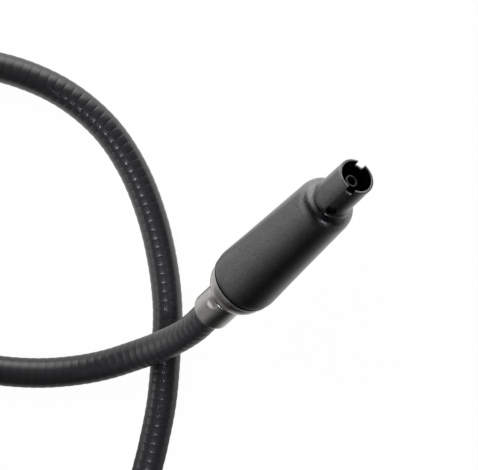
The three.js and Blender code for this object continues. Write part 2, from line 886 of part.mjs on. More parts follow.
function innerWire() {
  const places = innerPlaces(noseEnd - 2 * clearance, wireStop);
  const rings = places.map((place) => ringRound(place, wireRadius, conduitSides));
  return skin(rings, { hollow: false });
}

// ---------------------------------------------------------------- assembly

function piece(name, geometry, material) {
  const mesh = new THREE.Mesh(geometry, material());
  mesh.name = name;
  return mesh;
}

// A group whose own Z runs along an end's axis, and whose own X points up.
function endGroup(rim, direction, pieces) {
  const across = new THREE.Vector3(direction.y, -direction.x, 0).normalize();
  const up = new THREE.Vector3().crossVectors(across, direction);
  const group = new THREE.Group();
  group.quaternion.setFromRotationMatrix(new THREE.Matrix4().makeBasis(up, across, direction));
  group.position.copy(rim);
  return group.add(...pieces);
}

const head = endGroup(headRim, headDirection, [
  piece('head_ferrule', ferrule(), satinNickel),
  piece('end_cap', endCap(), satinNickel),
  piece('swivel_clip', swivelClip(), steel),
  piece('coupling_body', couplingBody(), satinBlack),
  piece('guide_bush', guideBush(), darkSteel),
  piece('bush_grub_screw', bushGrubScrew(), steel),
  piece('release_pin', releasePin(), darkSteel),
  piece('pin_wire_sleeve', pinWireSleeve(), brass),
  piece('pin_spring', pinSpring(), steel),
]);

const handPiece = endGroup(handRim, handDirection, [
  piece('hand_ferrule', ferrule(), satinNickel),
  piece('hand_cap', handCap(), satinNickel),
  piece('hand_barrel', handBarrel(), satinBlack),
  piece('finger_plate', fingerPlate(), satinBlack),
  piece('guide_nut', guideNut(), satinBlack),
  piece('plunger_rod', plungerRod(), steel),
  piece('plunger_collar', plungerCollar(), brass),
  piece('thumb_button', thumbButton(), satinBlack),
  piece('button_spring', buttonSpring(), steel),
  piece('lock_screw', lockScrew(), steel),
]);

const line = new THREE.Group().add(
  piece('sheath', sheath(), sheathCover),
  piece('conduit', conduit(), darkSteel),
  piece('inner_wire', innerWire(), steel),
);
printSheathFigures();

// The origin is on the table, under the middle of the box round the two rigid ends.
const release = new THREE.Group().add(head, handPiece, line);
release.updateMatrixWorld(true);
const boxRound = (group) => new THREE.Box3().setFromObject(group, true);
const middle = boxRound(head).union(boxRound(handPiece)).getCenter(new THREE.Vector3());
release.position.set(-middle.x, -middle.y, 0);
console.log(`origin: ${middle.x.toFixed(3)}, ${middle.y.toFixed(3)} mm from the middle of the picture`);

export default release;
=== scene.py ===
"""The looks of a mechanical cable shutter release that lies on a table.

A thumb button at the hand end pushes a wire through a ribbed sheath, and the wire drives a pin out
of the slotted coupling at the camera end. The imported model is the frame: each piece below takes the
place of one of its nodes and moves with the body that the node belongs to.

Sizes are in millimetres. Stations are counted along the axis of an end of the sheath, from the
ferrule's sheath side, as in the part's source. Points of the scene are in metres.
"""

import logging
import math
from collections.abc import Callable, Mapping, Sequence
from dataclasses import dataclass, field
from enum import Enum
from typing import Any

import bmesh
import bpy
import numpy as np
from mathutils import Matrix, Vector


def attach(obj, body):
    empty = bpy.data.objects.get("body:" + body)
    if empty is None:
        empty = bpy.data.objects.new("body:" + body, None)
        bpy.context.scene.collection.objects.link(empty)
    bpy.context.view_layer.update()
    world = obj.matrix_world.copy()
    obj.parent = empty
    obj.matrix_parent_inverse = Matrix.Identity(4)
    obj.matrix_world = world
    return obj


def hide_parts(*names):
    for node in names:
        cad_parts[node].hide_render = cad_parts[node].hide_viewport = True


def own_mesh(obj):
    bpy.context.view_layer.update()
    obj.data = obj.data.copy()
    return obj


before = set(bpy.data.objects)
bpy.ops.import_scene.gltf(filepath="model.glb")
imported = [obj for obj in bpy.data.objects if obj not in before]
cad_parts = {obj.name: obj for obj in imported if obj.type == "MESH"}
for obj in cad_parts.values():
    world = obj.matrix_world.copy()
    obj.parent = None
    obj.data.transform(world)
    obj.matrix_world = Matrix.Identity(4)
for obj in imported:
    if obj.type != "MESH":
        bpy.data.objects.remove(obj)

MM = 0.001
PICTURE_MIDDLE = Vector((-0.033227, 0.041146, 0.0))  # where the photo's middle meets the table
CLEARANCE = 0.3  # between pieces that seat on or run in each other
STROKE = 7.0  # of the button and of the pin

log = logging.getLogger("cable_release")

Colour = tuple[float, float, float]
Point = tuple[float, float, float]


class Body(Enum):
    """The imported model's bodies, each of which moves as one."""

    RELEASE_LINE = "release_line"
    COUPLING = "coupling"
    PIN = "pin"
    PLUNGER = "plunger"
    LOCK = "lock"


class Slide(Enum):
    """The joints that press a spring short."""

    PIN = "pin_extend"
    BUTTON = "button_press"


class Slot(Enum):
    """The record's material slots."""

    SATIN_BLACK = "satin_black"
    SATIN_NICKEL = "satin_nickel"
    SHEATH_COVER = "sheath_cover"
    STEEL = "steel"
    DARK_STEEL = "dark_steel"
    BRASS = "brass"


class Ray(Enum):
    """The rays of light that the studio tells apart."""

    CAMERA = "Is Camera Ray"
    GLOSSY = "Is Glossy Ray"
    TRANSMISSION = "Is Transmission Ray"


# ---------------------------------------------------------------- writing shaders


class Signal:
    """An output socket of a shader tree that can be used in sums."""

    def __init__(self, recipe: "Recipe", socket: bpy.types.NodeSocket) -> None:
        """Wraps a socket.

        Args:
            recipe: The tree that new nodes go into.
            socket: The output that the signal stands for.
        """
        self.recipe = recipe
        self.socket = socket

    def _combine(self, operation: str, first: Any, second: Any) -> "Signal":
        """Adds the node that combines two values, of the kind that suits them.

        Args:
            operation: The name that Math, Vector Math and Mix nodes share for it.
            first: A signal, a number or a tuple of numbers.
            second: The same.

        Returns:
            The combined signal.
        """
        kinds = {value.socket.type for value in (first, second) if isinstance(value, Signal)}
        if "RGBA" in kinds:
            settings = {"data_type": "RGBA", "blend_type": operation}
            inputs = {"Factor_Float": 1.0, "A_Color": _opaque(first), "B_Color": _opaque(second)}
            return self.recipe.node("ShaderNodeMix", settings, inputs, "Result_Color")
        if "VECTOR" in kinds:
            kind = "ShaderNodeVectorMath"
        else:
            kind = "ShaderNodeMath"
        return self.recipe.node(kind, {"operation": operation}, {0: first, 1: second})

    def __add__(self, other: Any) -> "Signal":
        """The sum."""
        return self._combine("ADD", self, other)

    def __radd__(self, other: Any) -> "Signal":
        """The sum, from a plain value on the left."""
        return self._combine("ADD", other, self)

    def __sub__(self, other: Any) -> "Signal":
        """The difference."""
        return self._combine("SUBTRACT", self, other)

    def __rsub__(self, other: Any) -> "Signal":
        """The difference, from a plain value on the left."""
        return self._combine("SUBTRACT", other, self)

    def __mul__(self, other: Any) -> "Signal":
        """The product."""
        return self._combine("MULTIPLY", self, other)

    def __rmul__(self, other: Any) -> "Signal":
        """The product, from a plain value on the left."""
        return self._combine("MULTIPLY", other, self)

    def __truediv__(self, other: Any) -> "Signal":
        """The quotient."""
        return self._combine("DIVIDE", self, other)

    def dot(self, direction: Point) -> "Signal":
        """How far a vector reaches along a direction.

        Args:
            direction: The direction, as three numbers.

        Returns:
            A number.
        """
        settings = {"operation": "DOT_PRODUCT"}
        return self.recipe.node("ShaderNodeVectorMath", settings, {0: self, 1: direction}, "Value")

    def length(self) -> "Signal":
        """How long a vector is."""
        return self.recipe.node("ShaderNodeVectorMath", {"operation": "LENGTH"}, {0: self}, "Value")

    def rise(self, low: float, high: float) -> "Signal":
        """A smooth rise from 0 to 1 while this number goes from low to high.

        Args:
            low: Where the rise starts.
            high: Where it ends, which may be below low.

        Returns:
            A number from 0 to 1.
        """
        settings = {"interpolation_type": "SMOOTHSTEP"}
        inputs = {"Value": self, "From Min": low, "From Max": high}
        return self.recipe.node("ShaderNodeMapRange", settings, inputs)

    def larger(self, other: Any) -> "Signal":
        """The larger of two numbers."""
        return self._combine("MAXIMUM", self, other)


def _opaque(value: Any) -> Any:
    """A colour of three numbers with its alpha added, and anything else as it is."""
    return (*value, 1.0) if isinstance(value, tuple) and len(value) == 3 else value


class Recipe:
    """A shader tree while it is written."""

    def __init__(self, tree: bpy.types.NodeTree) -> None:
        """Empties a tree for writing.

        Args:
            tree: The tree of a material or of the world.
        """
        self.tree = tree
        tree.nodes.clear()

    def node(
        self,
        kind: str,
        settings: Mapping[str, Any] | None = None,
        inputs: Mapping[str | int, Any] | None = None,
        output: str | int = 0,
    ) -> Signal:
        """Adds one node.

        Args:
            kind: Blender's name of the node's type.
            settings: Its properties, which are set first.
            inputs: Values or signals by the sockets' names, identifiers or places.
            output: The socket that the returned signal stands for.

        Returns:
            The signal of that output, or of nothing where the node has none.
        """
        made = self.tree.nodes.new(kind)
        for key, value in (settings or {}).items():
            setattr(made, key, value)
        for key, value in (inputs or {}).items():
            socket = self._socket(made.inputs, key)
            if isinstance(value, Signal):
                self.tree.links.new(value.socket, socket)
            else:
                socket.default_value = value
        return Signal(self, self._socket(made.outputs, output) if made.outputs else None)

    @staticmethod
    def _socket(sockets: Any, key: str | int) -> bpy.types.NodeSocket:
        """Finds one of a node's sockets.

        Args:
            sockets: The node's inputs or its outputs.
            key: The socket's place, identifier or name.

        Returns:
            The socket.
        """
        if isinstance(key, int):
            return sockets[key]
        return next(s for s in sockets if s.identifier == key or (s.enabled and s.name == key))

    def place(self) -> Signal:
        """Where a point is on the piece, in metres, which stays with the piece when it moves."""
        return self.node("ShaderNodeTexCoord", output="Object")

    def ray(self, kind: Ray) -> Signal:
        """1 for rays of a kind, and 0 for others."""
        return self.node("ShaderNodeLightPath", output=kind.value)

    def seen(self) -> Signal:
        """1 where the camera looks, also through clear things, and 0 for other rays."""
        return self.ray(Ray.CAMERA).larger(self.ray(Ray.TRANSMISSION))

    def noise(self, vector: Signal, scale: float, detail: float = 2.0, rough: float = 0.5) -> Signal:
        """Smooth noise.

        Args:
            vector: Where to read it.
            scale: Its features for each unit of the vector.
            detail: How many finer layers it has.
            rough: How strong the finer layers are.

        Returns:
            A number from 0 to 1, mostly near the middle.
        """
        inputs = {"Vector": vector, "Scale": scale, "Detail": detail, "Roughness": rough}
        return self.node("ShaderNodeTexNoise", {"noise_dimensions": "3D"}, inputs)

    def mark(self, name: str) -> Signal:
        """A number that the mesh carries at each of its points.

        Args:
            name: The attribute's name.

        Returns:
            The number.
        """
        return self.node("ShaderNodeAttribute", {"attribute_name": name}, output="Fac")

    def blend(self, factor: Signal, first: Signal | Colour, second: Signal | Colour) -> Signal:
        """A colour between two others.

        Args:
            factor: 0 for the first, 1 for the second.
            first: The first colour.
            second: The second colour.

        Returns:
            The colour.
        """
        inputs = {"Factor_Float": factor, "A_Color": _opaque(first), "B_Color": _opaque(second)}
        return self.node("ShaderNodeMix", {"data_type": "RGBA"}, inputs, "Result_Color")

    def mix(self, factor: Signal, first: Signal, second: Signal) -> Signal:
        """A surface between two others: the first where factor is 0, the second where it is 1."""
        return self.node("ShaderNodeMixShader", {}, {0: factor, 1: first, 2: second})

    def bump(self, height: Signal, depth: float) -> Signal:
        """A surface direction that small heights tilt.

        Args:
            height: The height, from 0 to 1.
            depth: What a height of 1 stands for, in millimetres.

        Returns:
            The direction, for a shader's Normal.
        """
        inputs = {"Strength": 1.0, "Distance": depth * MM, "Height": height}
        return self.node("ShaderNodeBump", {}, inputs)


# ---------------------------------------------------------------- axes


@dataclass(frozen=True)
class Axis:
    """A line that pieces are turned about.

    Attributes:
        name: A word for it, which goes into the names of its materials.
        rim: Where its stations start, in metres.
        up: The direction that angles are counted from.
        across: The direction that they are counted towards.
        direction: The direction that stations are counted in.
    """

    name: str
    rim: Vector
    up: Vector
    across: Vector
    direction: Vector

    @classmethod
    def leaning(cls, name: str, rim: Vector, direction: Vector) -> "Axis":
        """An axis that isn't upright, with its up direction as near to the sky as it can be.

        Args:
            name: A word for it.
            rim: Where its stations start, in metres.
            direction: Where it points.

        Returns:
            The axis.
        """
        along = direction.normalized()
        across = Vector((along.y, -along.x, 0.0)).normalized()
        return cls(name, rim, across.cross(along), across, along)

    def branch(self, station: float, angle: float) -> "Axis":
        """An axis that leaves this one at a right angle.

        Args:
            station: Where it leaves, in millimetres.
            angle: The side that it leaves on, in degrees from up.

        Returns:
            The axis, whose up direction is this axis's own direction.
        """
        turn = math.radians(angle)
        out = self.up * math.cos(turn) + self.across * math.sin(turn)
        return Axis(self.name, self.at(station), self.direction, out.cross(self.direction), out)

    def at(self, station: float) -> Vector:
        """The point of the axis at a station, in metres."""
        return self.rim + self.direction * station * MM

    def matrix(self) -> Matrix:
        """What takes millimetres round this axis to metres in the scene."""
        basis = Matrix((self.up, self.across, self.direction)).transposed().to_4x4()
        return Matrix.Translation(self.rim) @ basis @ Matrix.Scale(MM, 4)


HEAD_AZIMUTH = math.radians(43.7)
HEAD_ELEVATION = math.radians(47.7)
HEAD_AXIS = Axis.leaning(
    "head",
    PICTURE_MIDDLE + Vector((-0.00493, -0.01362, 0.0224)),
    Vector(
        (
            math.cos(HEAD_ELEVATION) * math.cos(HEAD_AZIMUTH),
            math.cos(HEAD_ELEVATION) * math.sin(HEAD_AZIMUTH),
            math.sin(HEAD_ELEVATION),
        )
    ),
)
HAND_AXIS = Axis.leaning(
    "hand",
    PICTURE_MIDDLE + Vector((0.0161, -0.0814, 0.0064)),
    Vector((1.0, 0.0, 0.0)),
)


# ---------------------------------------------------------------- finishes


@dataclass(frozen=True)
class Finish:
    """What every finish has.

    Attributes:
        slot: The record's slot that it belongs to.
    """

    slot: Slot

    def sockets(self, recipe: Recipe, axis: Axis | None) -> dict[str, Any]:
        """The values and signals for the shader's sockets.

        Args:
            recipe: The tree to add nodes to.
            axis: The line that the piece was turned about, if any.

        Returns:
            Values and signals by socket.
        """
        raise NotImplementedError

    def material(self, axis: Axis | None = None) -> bpy.types.Material:
        """This finish as a material, made once for each axis.

        Args:
            axis: The line that the piece was turned about, if any.

        Returns:
            The material.
        """
        name = f"{self.slot.value}_on_{axis.name if axis else 'line'}"
        known = bpy.data.materials.get(name)
        if known:
            return known
        made = bpy.data.materials.new(name)
        made.use_nodes = True
        recipe = Recipe(made.node_tree)
        shader = recipe.node("ShaderNodeBsdfPrincipled", {}, self.sockets(recipe, axis))
        recipe.node("ShaderNodeOutputMaterial", {}, {"Surface": shader})
        return made


def turning_marks(recipe: Recipe, axis: Axis | None, pitch: float) -> Signal:
    """Fine rings round an axis, as a lathe tool leaves them.

    Args:
        recipe: The tree to add nodes to.
        axis: The line that the rings run round, if any.
        pitch: About how far apart they are, in millimetres.

    Returns:
        A number from 0 to 1.
    """
    place = recipe.place()
    if axis is None:
        return recipe.noise(place, 1 / (pitch * MM), detail=3.0)
    along = (place - tuple(axis.rim)).dot(tuple(axis.direction))
    wander = recipe.noise(place, 60.0, detail=1.0)
    offset = recipe.node("ShaderNodeCombineXYZ", {}, {"X": along, "Y": wander * (0.3 * pitch * MM)})
    return recipe.noise(offset, 1 / (pitch * MM), detail=3.0, rough=0.6)


@dataclass(frozen=True)
class SatinLacquer(Finish):
    """Fine-grained dark lacquer on metal, paler on its edges, partly for rubbed wear and partly as a
    painted highlight.

    Attributes:
        slot: The record's slot that it belongs to.
        base: Its colour.
        worn_edge_and_highlight: Its colour on rounded edges, paler for wear and as a painted highlight.
        shades: How bright its darkest and its lightest grains are beside the base.
        painted_shade_strength: How much of its colour the painted shade takes away.
        roughness: How much it scatters what it mirrors.
        grain: How far apart its grains are, in millimetres.
        patches: How many cloudy patches it has in a metre.
        pitch: How far apart the turning marks under it are, in millimetres.
        depth: How deep its grain is, in millimetres.
    """

    slot: Slot = Slot.SATIN_BLACK
    base: Colour = (0.125, 0.125, 0.128)
    worn_edge_and_highlight: Colour = (0.2, 0.197, 0.19)
    shades: tuple[float, float] = (0.62, 1.4)
    painted_shade_strength: float = 0.9
    roughness: float = 0.4
    grain: float = 0.27
    patches: float = 220.0
    pitch: float = 0.12
    depth: float = 0.006

    def sockets(self, recipe: Recipe, axis: Axis | None) -> dict[str, Any]:
        """The values and signals for the shader's sockets.

        Args:
            recipe: The tree to add nodes to.
            axis: The line that the piece was turned about, if any.

        Returns:
            Values and signals by socket.
        """
        place = recipe.place()
        grain = recipe.noise(place, 1 / (self.grain * MM), detail=2.0, rough=0.6)
        clouds = recipe.noise(place, self.patches, detail=3.0)
        marks = turning_marks(recipe, axis, self.pitch)
        # paler rounded edges: partly rubbed wear, partly a painted highlight
        edge_wear_and_highlight = recipe.mark("edge_wear_and_highlight") * clouds.rise(0.35, 0.7)
        dark, light = (tuple(shade * c for c in self.base) for shade in self.shades)
        lacquer = recipe.blend((0.8 * grain + 0.25 * clouds).rise(0.25, 0.8), dark, light)
        colour = recipe.blend(0.7 * edge_wear_and_highlight, lacquer, self.worn_edge_and_highlight)
        rough = self.roughness + 0.16 * (grain - 0.5) + 0.1 * (clouds - 0.5) - 0.08 * edge_wear_and_highlight
        return {
            # painted shade: the colour is darkened where the mesh marks seams and shaded cuts
            "Base Color": colour * (1 - self.painted_shade_strength * recipe.mark("painted_shade")),
            "Metallic": 1.0,
            "Roughness": rough,
            "Normal": recipe.bump(0.8 * grain + 0.2 * marks, self.depth),
        }


@dataclass(frozen=True)
class TurnedMetal(Finish):
    """Bare or plated metal with the fine rings of its turning.

    Attributes:
        base: Its colour.
        dull: Its colour in duller patches.
        roughness: How much it scatters what it mirrors.
        pitch: How far apart its rings are, in millimetres.
        depth: How deep they are, in millimetres.
        painted_shade_strength: How much of its colour the painted shade takes away.
        grains: How many grains it has in a metre.
        patches: How many duller patches it has in a metre.
    """

    base: Colour
    dull: Colour
    roughness: float
    pitch: float
    depth: float
    painted_shade_strength: float = 0.93
    grains: float = 3600.0
    patches: float = 260.0

    def sockets(self, recipe: Recipe, axis: Axis | None) -> dict[str, Any]:
        """The values and signals for the shader's sockets.

        Args:
            recipe: The tree to add nodes to.
            axis: The line that the piece was turned about, if any.

        Returns:
            Values and signals by socket.
        """
        place = recipe.place()
        marks = turning_marks(recipe, axis, self.pitch)
        grain = recipe.noise(place, self.grains, detail=2.0)
        clouds = recipe.noise(place, self.patches, detail=4.0, rough=0.6)
        bare = recipe.blend((0.6 * clouds + 0.4 * grain).rise(0.3, 0.7), self.base, self.dull)
        rough = self.roughness + 0.14 * (marks - 0.5) + 0.16 * (clouds - 0.5) + 0.08 * (grain - 0.5)
        return {
            # painted shade: the colour is darkened where the mesh marks seams
            "Base Color": bare * (1 - self.painted_shade_strength * recipe.mark("painted_shade")),
            "Metallic": 1.0,
            "Roughness": rough,
            "Normal": recipe.bump(marks + 0.4 * grain, self.depth),
        }


@dataclass(frozen=True)
class RibbedCover(Finish):
    """Black cover with a low sheen, rubbed smoother on its ribs and a little paler there, partly for
    rubbing and partly as a painted highlight.

    Attributes:
        slot: The record's slot that it belongs to.
        base: Its colour in the hollows.
        crest_and_highlight: Its colour on the ribs, paler for rubbing and as a painted highlight.
        roughness: How much it scatters what it mirrors.
        refraction: How strongly it bends light, which sets its sheen.
        pores: How many pores it has in a metre.
        patches: How many cloudy patches it has in a metre.
        depth: How deep its pores are, in millimetres.
    """

    slot: Slot = Slot.SHEATH_COVER
    base: Colour = (0.0165, 0.0162, 0.0185)
    crest_and_highlight: Colour = (0.021, 0.0205, 0.023)
    roughness: float = 0.37
    refraction: float = 1.6
    pores: float = 4200.0
    patches: float = 120.0
    depth: float = 0.0035

    def sockets(self, recipe: Recipe, axis: Axis | None) -> dict[str, Any]:
        """The values and signals for the shader's sockets.

        Args:
            recipe: The tree to add nodes to.
            axis: The line that the piece was turned about, if any.

        Returns:
            Values and signals by socket.
        """
        place = recipe.place()
        skin = recipe.noise(place, self.pores, detail=3.0, rough=0.6)
        clouds = recipe.noise(place, self.patches, detail=3.0)
        rib = recipe.mark("rib")
        # ribs painted paler: partly rubbing, partly a painted highlight; the skin adds random tone
        rib_highlight_and_tone = (0.6 * rib + 0.5 * skin * clouds.rise(0.3, 0.7)).rise(0.0, 1.0)
        rough = self.roughness - 0.04 * rib + 0.1 * (skin - 0.5) + 0.08 * (clouds - 0.5)
        return {
            "Base Color": recipe.blend(rib_highlight_and_tone, self.base, self.crest_and_highlight),
            "Roughness": rough,
            "IOR": self.refraction,
            "Normal": recipe.bump(skin, self.depth),
        }


SATIN_LACQUER = SatinLacquer()
SATIN_NICKEL = TurnedMetal(
    Slot.SATIN_NICKEL,
    base=(0.56, 0.55, 0.53),
    dull=(0.4, 0.385, 0.36),
    roughness=0.3,
    pitch=0.09,
    depth=0.004,
)
BRIGHT_STEEL = TurnedMetal(
    Slot.STEEL,
    base=(0.6, 0.6, 0.61),
    dull=(0.48, 0.48, 0.48),
    roughness=0.24,
    pitch=0.07,
    depth=0.003,
)
BLACKENED_STEEL = TurnedMetal(
    Slot.DARK_STEEL,
    base=(0.075, 0.075, 0.08),
    dull=(0.045, 0.045, 0.045),
    roughness=0.38,
    pitch=0.08,
    depth=0.004,
)
TURNED_BRASS = TurnedMetal(
    Slot.BRASS,
    base=(0.62, 0.48, 0.24),
    dull=(0.45, 0.33, 0.16),
    roughness=0.3,
    pitch=0.08,
    depth=0.004,
)
RIBBED_COVER = RibbedCover()


# ---------------------------------------------------------------- making meshes


@dataclass(frozen=True)
class Corner:
    """A corner of a turned piece's outline.

    Attributes:
        radius: Its distance from the axis.
        station: Its place along the axis.
        round: The radius that it is rounded with, or 0 for a sharp corner.
        painted_shade: 1 in a narrow gap, where shade is painted into the colour, and 0 in the open.
    """

    radius: float
    station: float
    round: float = 0.0
    painted_shade: float = 0.0


ARC_STEPS = 5  # spans of a rounded corner
EDGE_MARGIN = 0.12  # from a rounded edge to the ring where its wear and painted highlight end
ON_AXIS = 1e-6  # a smaller radius is the axis itself
WELD = 1e-4  # points that are nearer to each other become one
LINE_STEPS = 60  # points of a smooth line for each point that it runs through
CUT_ANGLE = math.radians(50)  # sharper edges of a cut are taken off
CREASE_ANGLE = math.radians(34)  # sharper edges are shaded as edges


def bow(
    centre: tuple[float, float],
    radii: tuple[float, float],
    start: float,
    end: float,
    steps: int,
) -> list[Corner]:
    """Corners along an arc of an ellipse.

    Args:
        centre: Its middle, as a radius and a station.
        radii: Its reach outwards and along the axis.
        start: The angle that it starts at, in degrees from outwards.
        end: The angle that it ends at.
        steps: The number of its spans.

    Returns:
        The corners, both ends included.
    """
    (radius, station), (wide, long) = centre, radii
    angles = np.radians(np.linspace(start, end, steps + 1))
    return [Corner(radius + wide * math.cos(a), station + long * math.sin(a)) for a in angles]


def outline(corners: Sequence[Corner]) -> np.ndarray:
    """Rounds the corners of an outline.

    Args:
        corners: The corners of a closed outline, in either direction.

    Returns:
        A row for each point: its radius, its station, 1 on a rounded outer edge, which is painted paler
            for wear and as a highlight, or else 0, and how much painted shade it has.
    """
    flat = np.array([(corner.radius, corner.station) for corner in corners])
    following = np.roll(flat, -1, axis=0)
    if np.sum(flat[:, 0] * following[:, 1] - following[:, 0] * flat[:, 1]) < 0:
        corners = corners[::-1]
        flat = flat[::-1]
    points: list[tuple[float, float, float, float]] = []
    for index, corner in enumerate(corners):
        here = flat[index]
        back, ahead = flat[index - 1] - here, flat[(index + 1) % len(flat)] - here
        if corner.round == 0:
            points.append((here[0], here[1], 0.0, corner.painted_shade))
            continue
        a, b = back / np.linalg.norm(back), ahead / np.linalg.norm(ahead)
        half = math.acos(float(np.clip(a @ b, -1, 1))) / 2
        reach = corner.round / math.tan(half)
        centre = here + (a + b) / np.linalg.norm(a + b) * corner.round / math.sin(half)
        convex = back[0] * ahead[1] - back[1] * ahead[0] < 0
        turn = (math.pi - 2 * half) * (1 if convex else -1)
        spoke = here + a * reach - centre
        if np.linalg.norm(back) > 2 * reach + 3 * EDGE_MARGIN:
            points.append((*(here + a * (reach + EDGE_MARGIN)), 0.0, corner.painted_shade))
        for step in range(ARC_STEPS + 1):
            angle = turn * step / ARC_STEPS
            sine, cosine = math.sin(angle), math.cos(angle)
            rotation = np.array(((cosine, -sine), (sine, cosine)))
            points.append((*(centre + rotation @ spoke), 1.0 if convex else 0.0, corner.painted_shade))
        if np.linalg.norm(ahead) > 2 * reach + 3 * EDGE_MARGIN:
            points.append((*(here + b * (reach + EDGE_MARGIN)), 0.0, corner.painted_shade))
    return np.array(points)


def mesh_piece(name: str, points: np.ndarray, faces: Sequence[Sequence[int]]) -> bpy.types.Object:
    """Adds a mesh object to the scene.

    Args:
        name: The piece's name.
        points: Its points, a row each.
        faces: The points of each face, anticlockwise from outside.

    Returns:
        The object.
    """
    mesh = bpy.data.meshes.new(name)
    mesh.from_pydata(points.tolist(), [], [tuple(face) for face in faces])
    mesh.validate()
    made = bpy.data.objects.new(name, mesh)
    bpy.context.scene.collection.objects.link(made)
    return made


def set_mark(piece: bpy.types.Object, name: str, values: np.ndarray) -> None:
    """Gives each point of a mesh a number that its material can read.

    Args:
        piece: The mesh object.
        name: The attribute's name.
        values: A number for each point.
    """
    attribute = piece.data.attributes.new(name, "FLOAT", "POINT")
    attribute.data.foreach_set("value", values.astype(np.float32))


def read_points(piece: bpy.types.Object) -> np.ndarray:
    """The points of a piece's mesh.

    Args:
        piece: The piece.

    Returns:
        A row for each point.
    """
    points = np.empty(len(piece.data.vertices) * 3)
    piece.data.vertices.foreach_get("co", points)
    return points.reshape(-1, 3)


Reach = Callable[[np.ndarray, float], np.ndarray]


def turned(
    name: str,
    corners: Sequence[Corner],
    segments: int,
    reach: Reach | None = None,
) -> bpy.types.Object:
    """A turned piece, in millimetres round its own axis.

    Args:
        name: The piece's name.
        corners: Its outline. Corners on the axis become single points.
        segments: The number of sides of its rings.
        reach: Changes a ring's radius by angle, for teeth and plates that aren't round.

    Returns:
        The piece.
    """
    rows = outline(corners)
    angles = np.linspace(0, 2 * math.pi, segments, endpoint=False)
    points, marks, rings = [], [], []
    for radius, station, *mark in rows:
        if radius < ON_AXIS:
            rings.append([len(points)] * segments)
            points.append((0.0, 0.0, station))
            marks.append(mark)
            continue
        radii = reach(angles, radius) if reach else np.full(segments, radius)
        rings.append(list(range(len(points), len(points) + segments)))
        points.extend(zip(radii * np.cos(angles), radii * np.sin(angles), np.full(segments, station)))
        marks.extend([mark] * segments)
    faces = []
    for low, high in zip(rings, rings[1:] + rings[:1]):
        for side in range(segments):
            other = (side + 1) % segments
            face = list(dict.fromkeys((low[side], low[other], high[other], high[side])))
            if len(face) > 2:
                faces.append(face)
    piece = mesh_piece(name, np.array(points), faces)
    # the marks: paler edges for wear and a painted highlight, and painted shade in gaps
    for column, mark in enumerate(("edge_wear_and_highlight", "painted_shade")):
        set_mark(piece, mark, np.array(marks)[:, column])
    return piece


def prism(name: str, section: Sequence[tuple[float, float]], reach: float) -> bpy.types.Object:
    """A bar of constant section along X, for cutting slots.

    Args:
        name: Its name.
        section: The corners of its section, as Y and Z, anticlockwise seen from +X.
        reach: How far it runs each way along X.

    Returns:
        The bar.
    """
    count = len(section)
    points = [(x, y, z) for x in (-reach, reach) for y, z in section]
    faces = [list(range(count))[::-1], list(range(count, 2 * count))]
    faces += [[i, (i + 1) % count, count + (i + 1) % count, count + i] for i in range(count)]
    return mesh_piece(name, np.array(points), faces)


def slot_bar(width: float, depth: float, top: float, reach: float) -> bpy.types.Object:
    """The bar that cuts the slot in a screw's head.

    Args:
        width: The slot's width.
        depth: Its depth.
        top: The height of the screw's top face.
        reach: How far the bar runs each way along X.

    Returns:
        The bar.
    """
    half, floor, above = width / 2, top - depth, top + 1
    return prism("slot", [(half, floor), (half, above), (-half, above), (-half, floor)], reach)


def cross_drill(
    radius: float,
    start: float,
    end: float,
    station: float,
    angle: float,
) -> bpy.types.Object:
    """The drill for a hole across a turned piece, in place in millimetres.

    Args:
        radius: The hole's radius.
        start: How far from the piece's axis it starts.
        end: How far from the axis it ends.
        station: Its place along the axis.
        angle: The side that it is on, in degrees.

    Returns:
        The drill.
    """
    corners = [Corner(0, start), Corner(radius, start), Corner(radius, end), Corner(0, end)]
    drill = turned("drill", corners, segments=48)
    turn = Matrix.Rotation(math.radians(angle), 4, "Z") @ Matrix.Rotation(math.pi / 2, 4, "Y")
    drill.data.transform(Matrix.Translation((0, 0, station)) @ turn)
    return drill


def skin(name: str, rings: np.ndarray, closed: bool) -> bpy.types.Object:
    """A closed skin over rings of points in metres.

    Args:
        name: The piece's name.
        rings: The points, by ring and by place in the ring.
        closed: Whether the last ring joins the first. Otherwise both ends are capped.

    Returns:
        The piece.
    """
    count, sides = rings.shape[:2]
    index = np.arange(count * sides).reshape(count, sides)
    low = index if closed else index[:-1]
    high = np.roll(index, -1, axis=0) if closed else index[1:]
    quads = np.stack((low, np.roll(low, -1, axis=1), np.roll(high, -1, axis=1), high), axis=-1)
    faces = quads.reshape(-1, 4).tolist()
    if not closed:
        faces += [index[0, ::-1].tolist(), index[-1].tolist()]
    return mesh_piece(name, rings.reshape(-1, 3), faces)


def settle(piece: bpy.types.Object) -> None:
    """Applies all the modifiers of a piece to its mesh.

    Args:
        piece: The piece.
    """
    depsgraph = bpy.context.evaluated_depsgraph_get()
    old = piece.data
    piece.data = bpy.data.meshes.new_from_object(piece.evaluated_get(depsgraph))
    piece.modifiers.clear()
    bpy.data.meshes.remove(old)


def carve(piece: bpy.types.Object, cutters: Sequence[bpy.types.Object], edge: float = 0.0) -> None:
    """Cuts solids out of a piece, and takes the edges of the cuts off.

    Args:
        piece: The piece.
        cutters: What to cut out, which is then removed.
        edge: How wide the edges of the cuts are taken off.
    """
    for cutter in cutters:
        modifier = piece.modifiers.new("cut", "BOOLEAN")
        modifier.operation = "DIFFERENCE"
        modifier.solver = "EXACT"
        modifier.object = cutter
    if edge:
        modifier = piece.modifiers.new("edge", "BEVEL")
        modifier.width = edge
        modifier.segments = 2
        modifier.limit_method = "ANGLE"
        modifier.angle_limit = CUT_ANGLE
    settle(piece)
    for cutter in cutters:
        bpy.data.objects.remove(cutter)
    work = bmesh.new()
    work.from_mesh(piece.data)
    bmesh.ops.remove_doubles(work, verts=work.verts, dist=WELD)
    bmesh.ops.dissolve_degenerate(work, edges=work.edges, dist=WELD)
    work.to_mesh(piece.data)
    work.free()


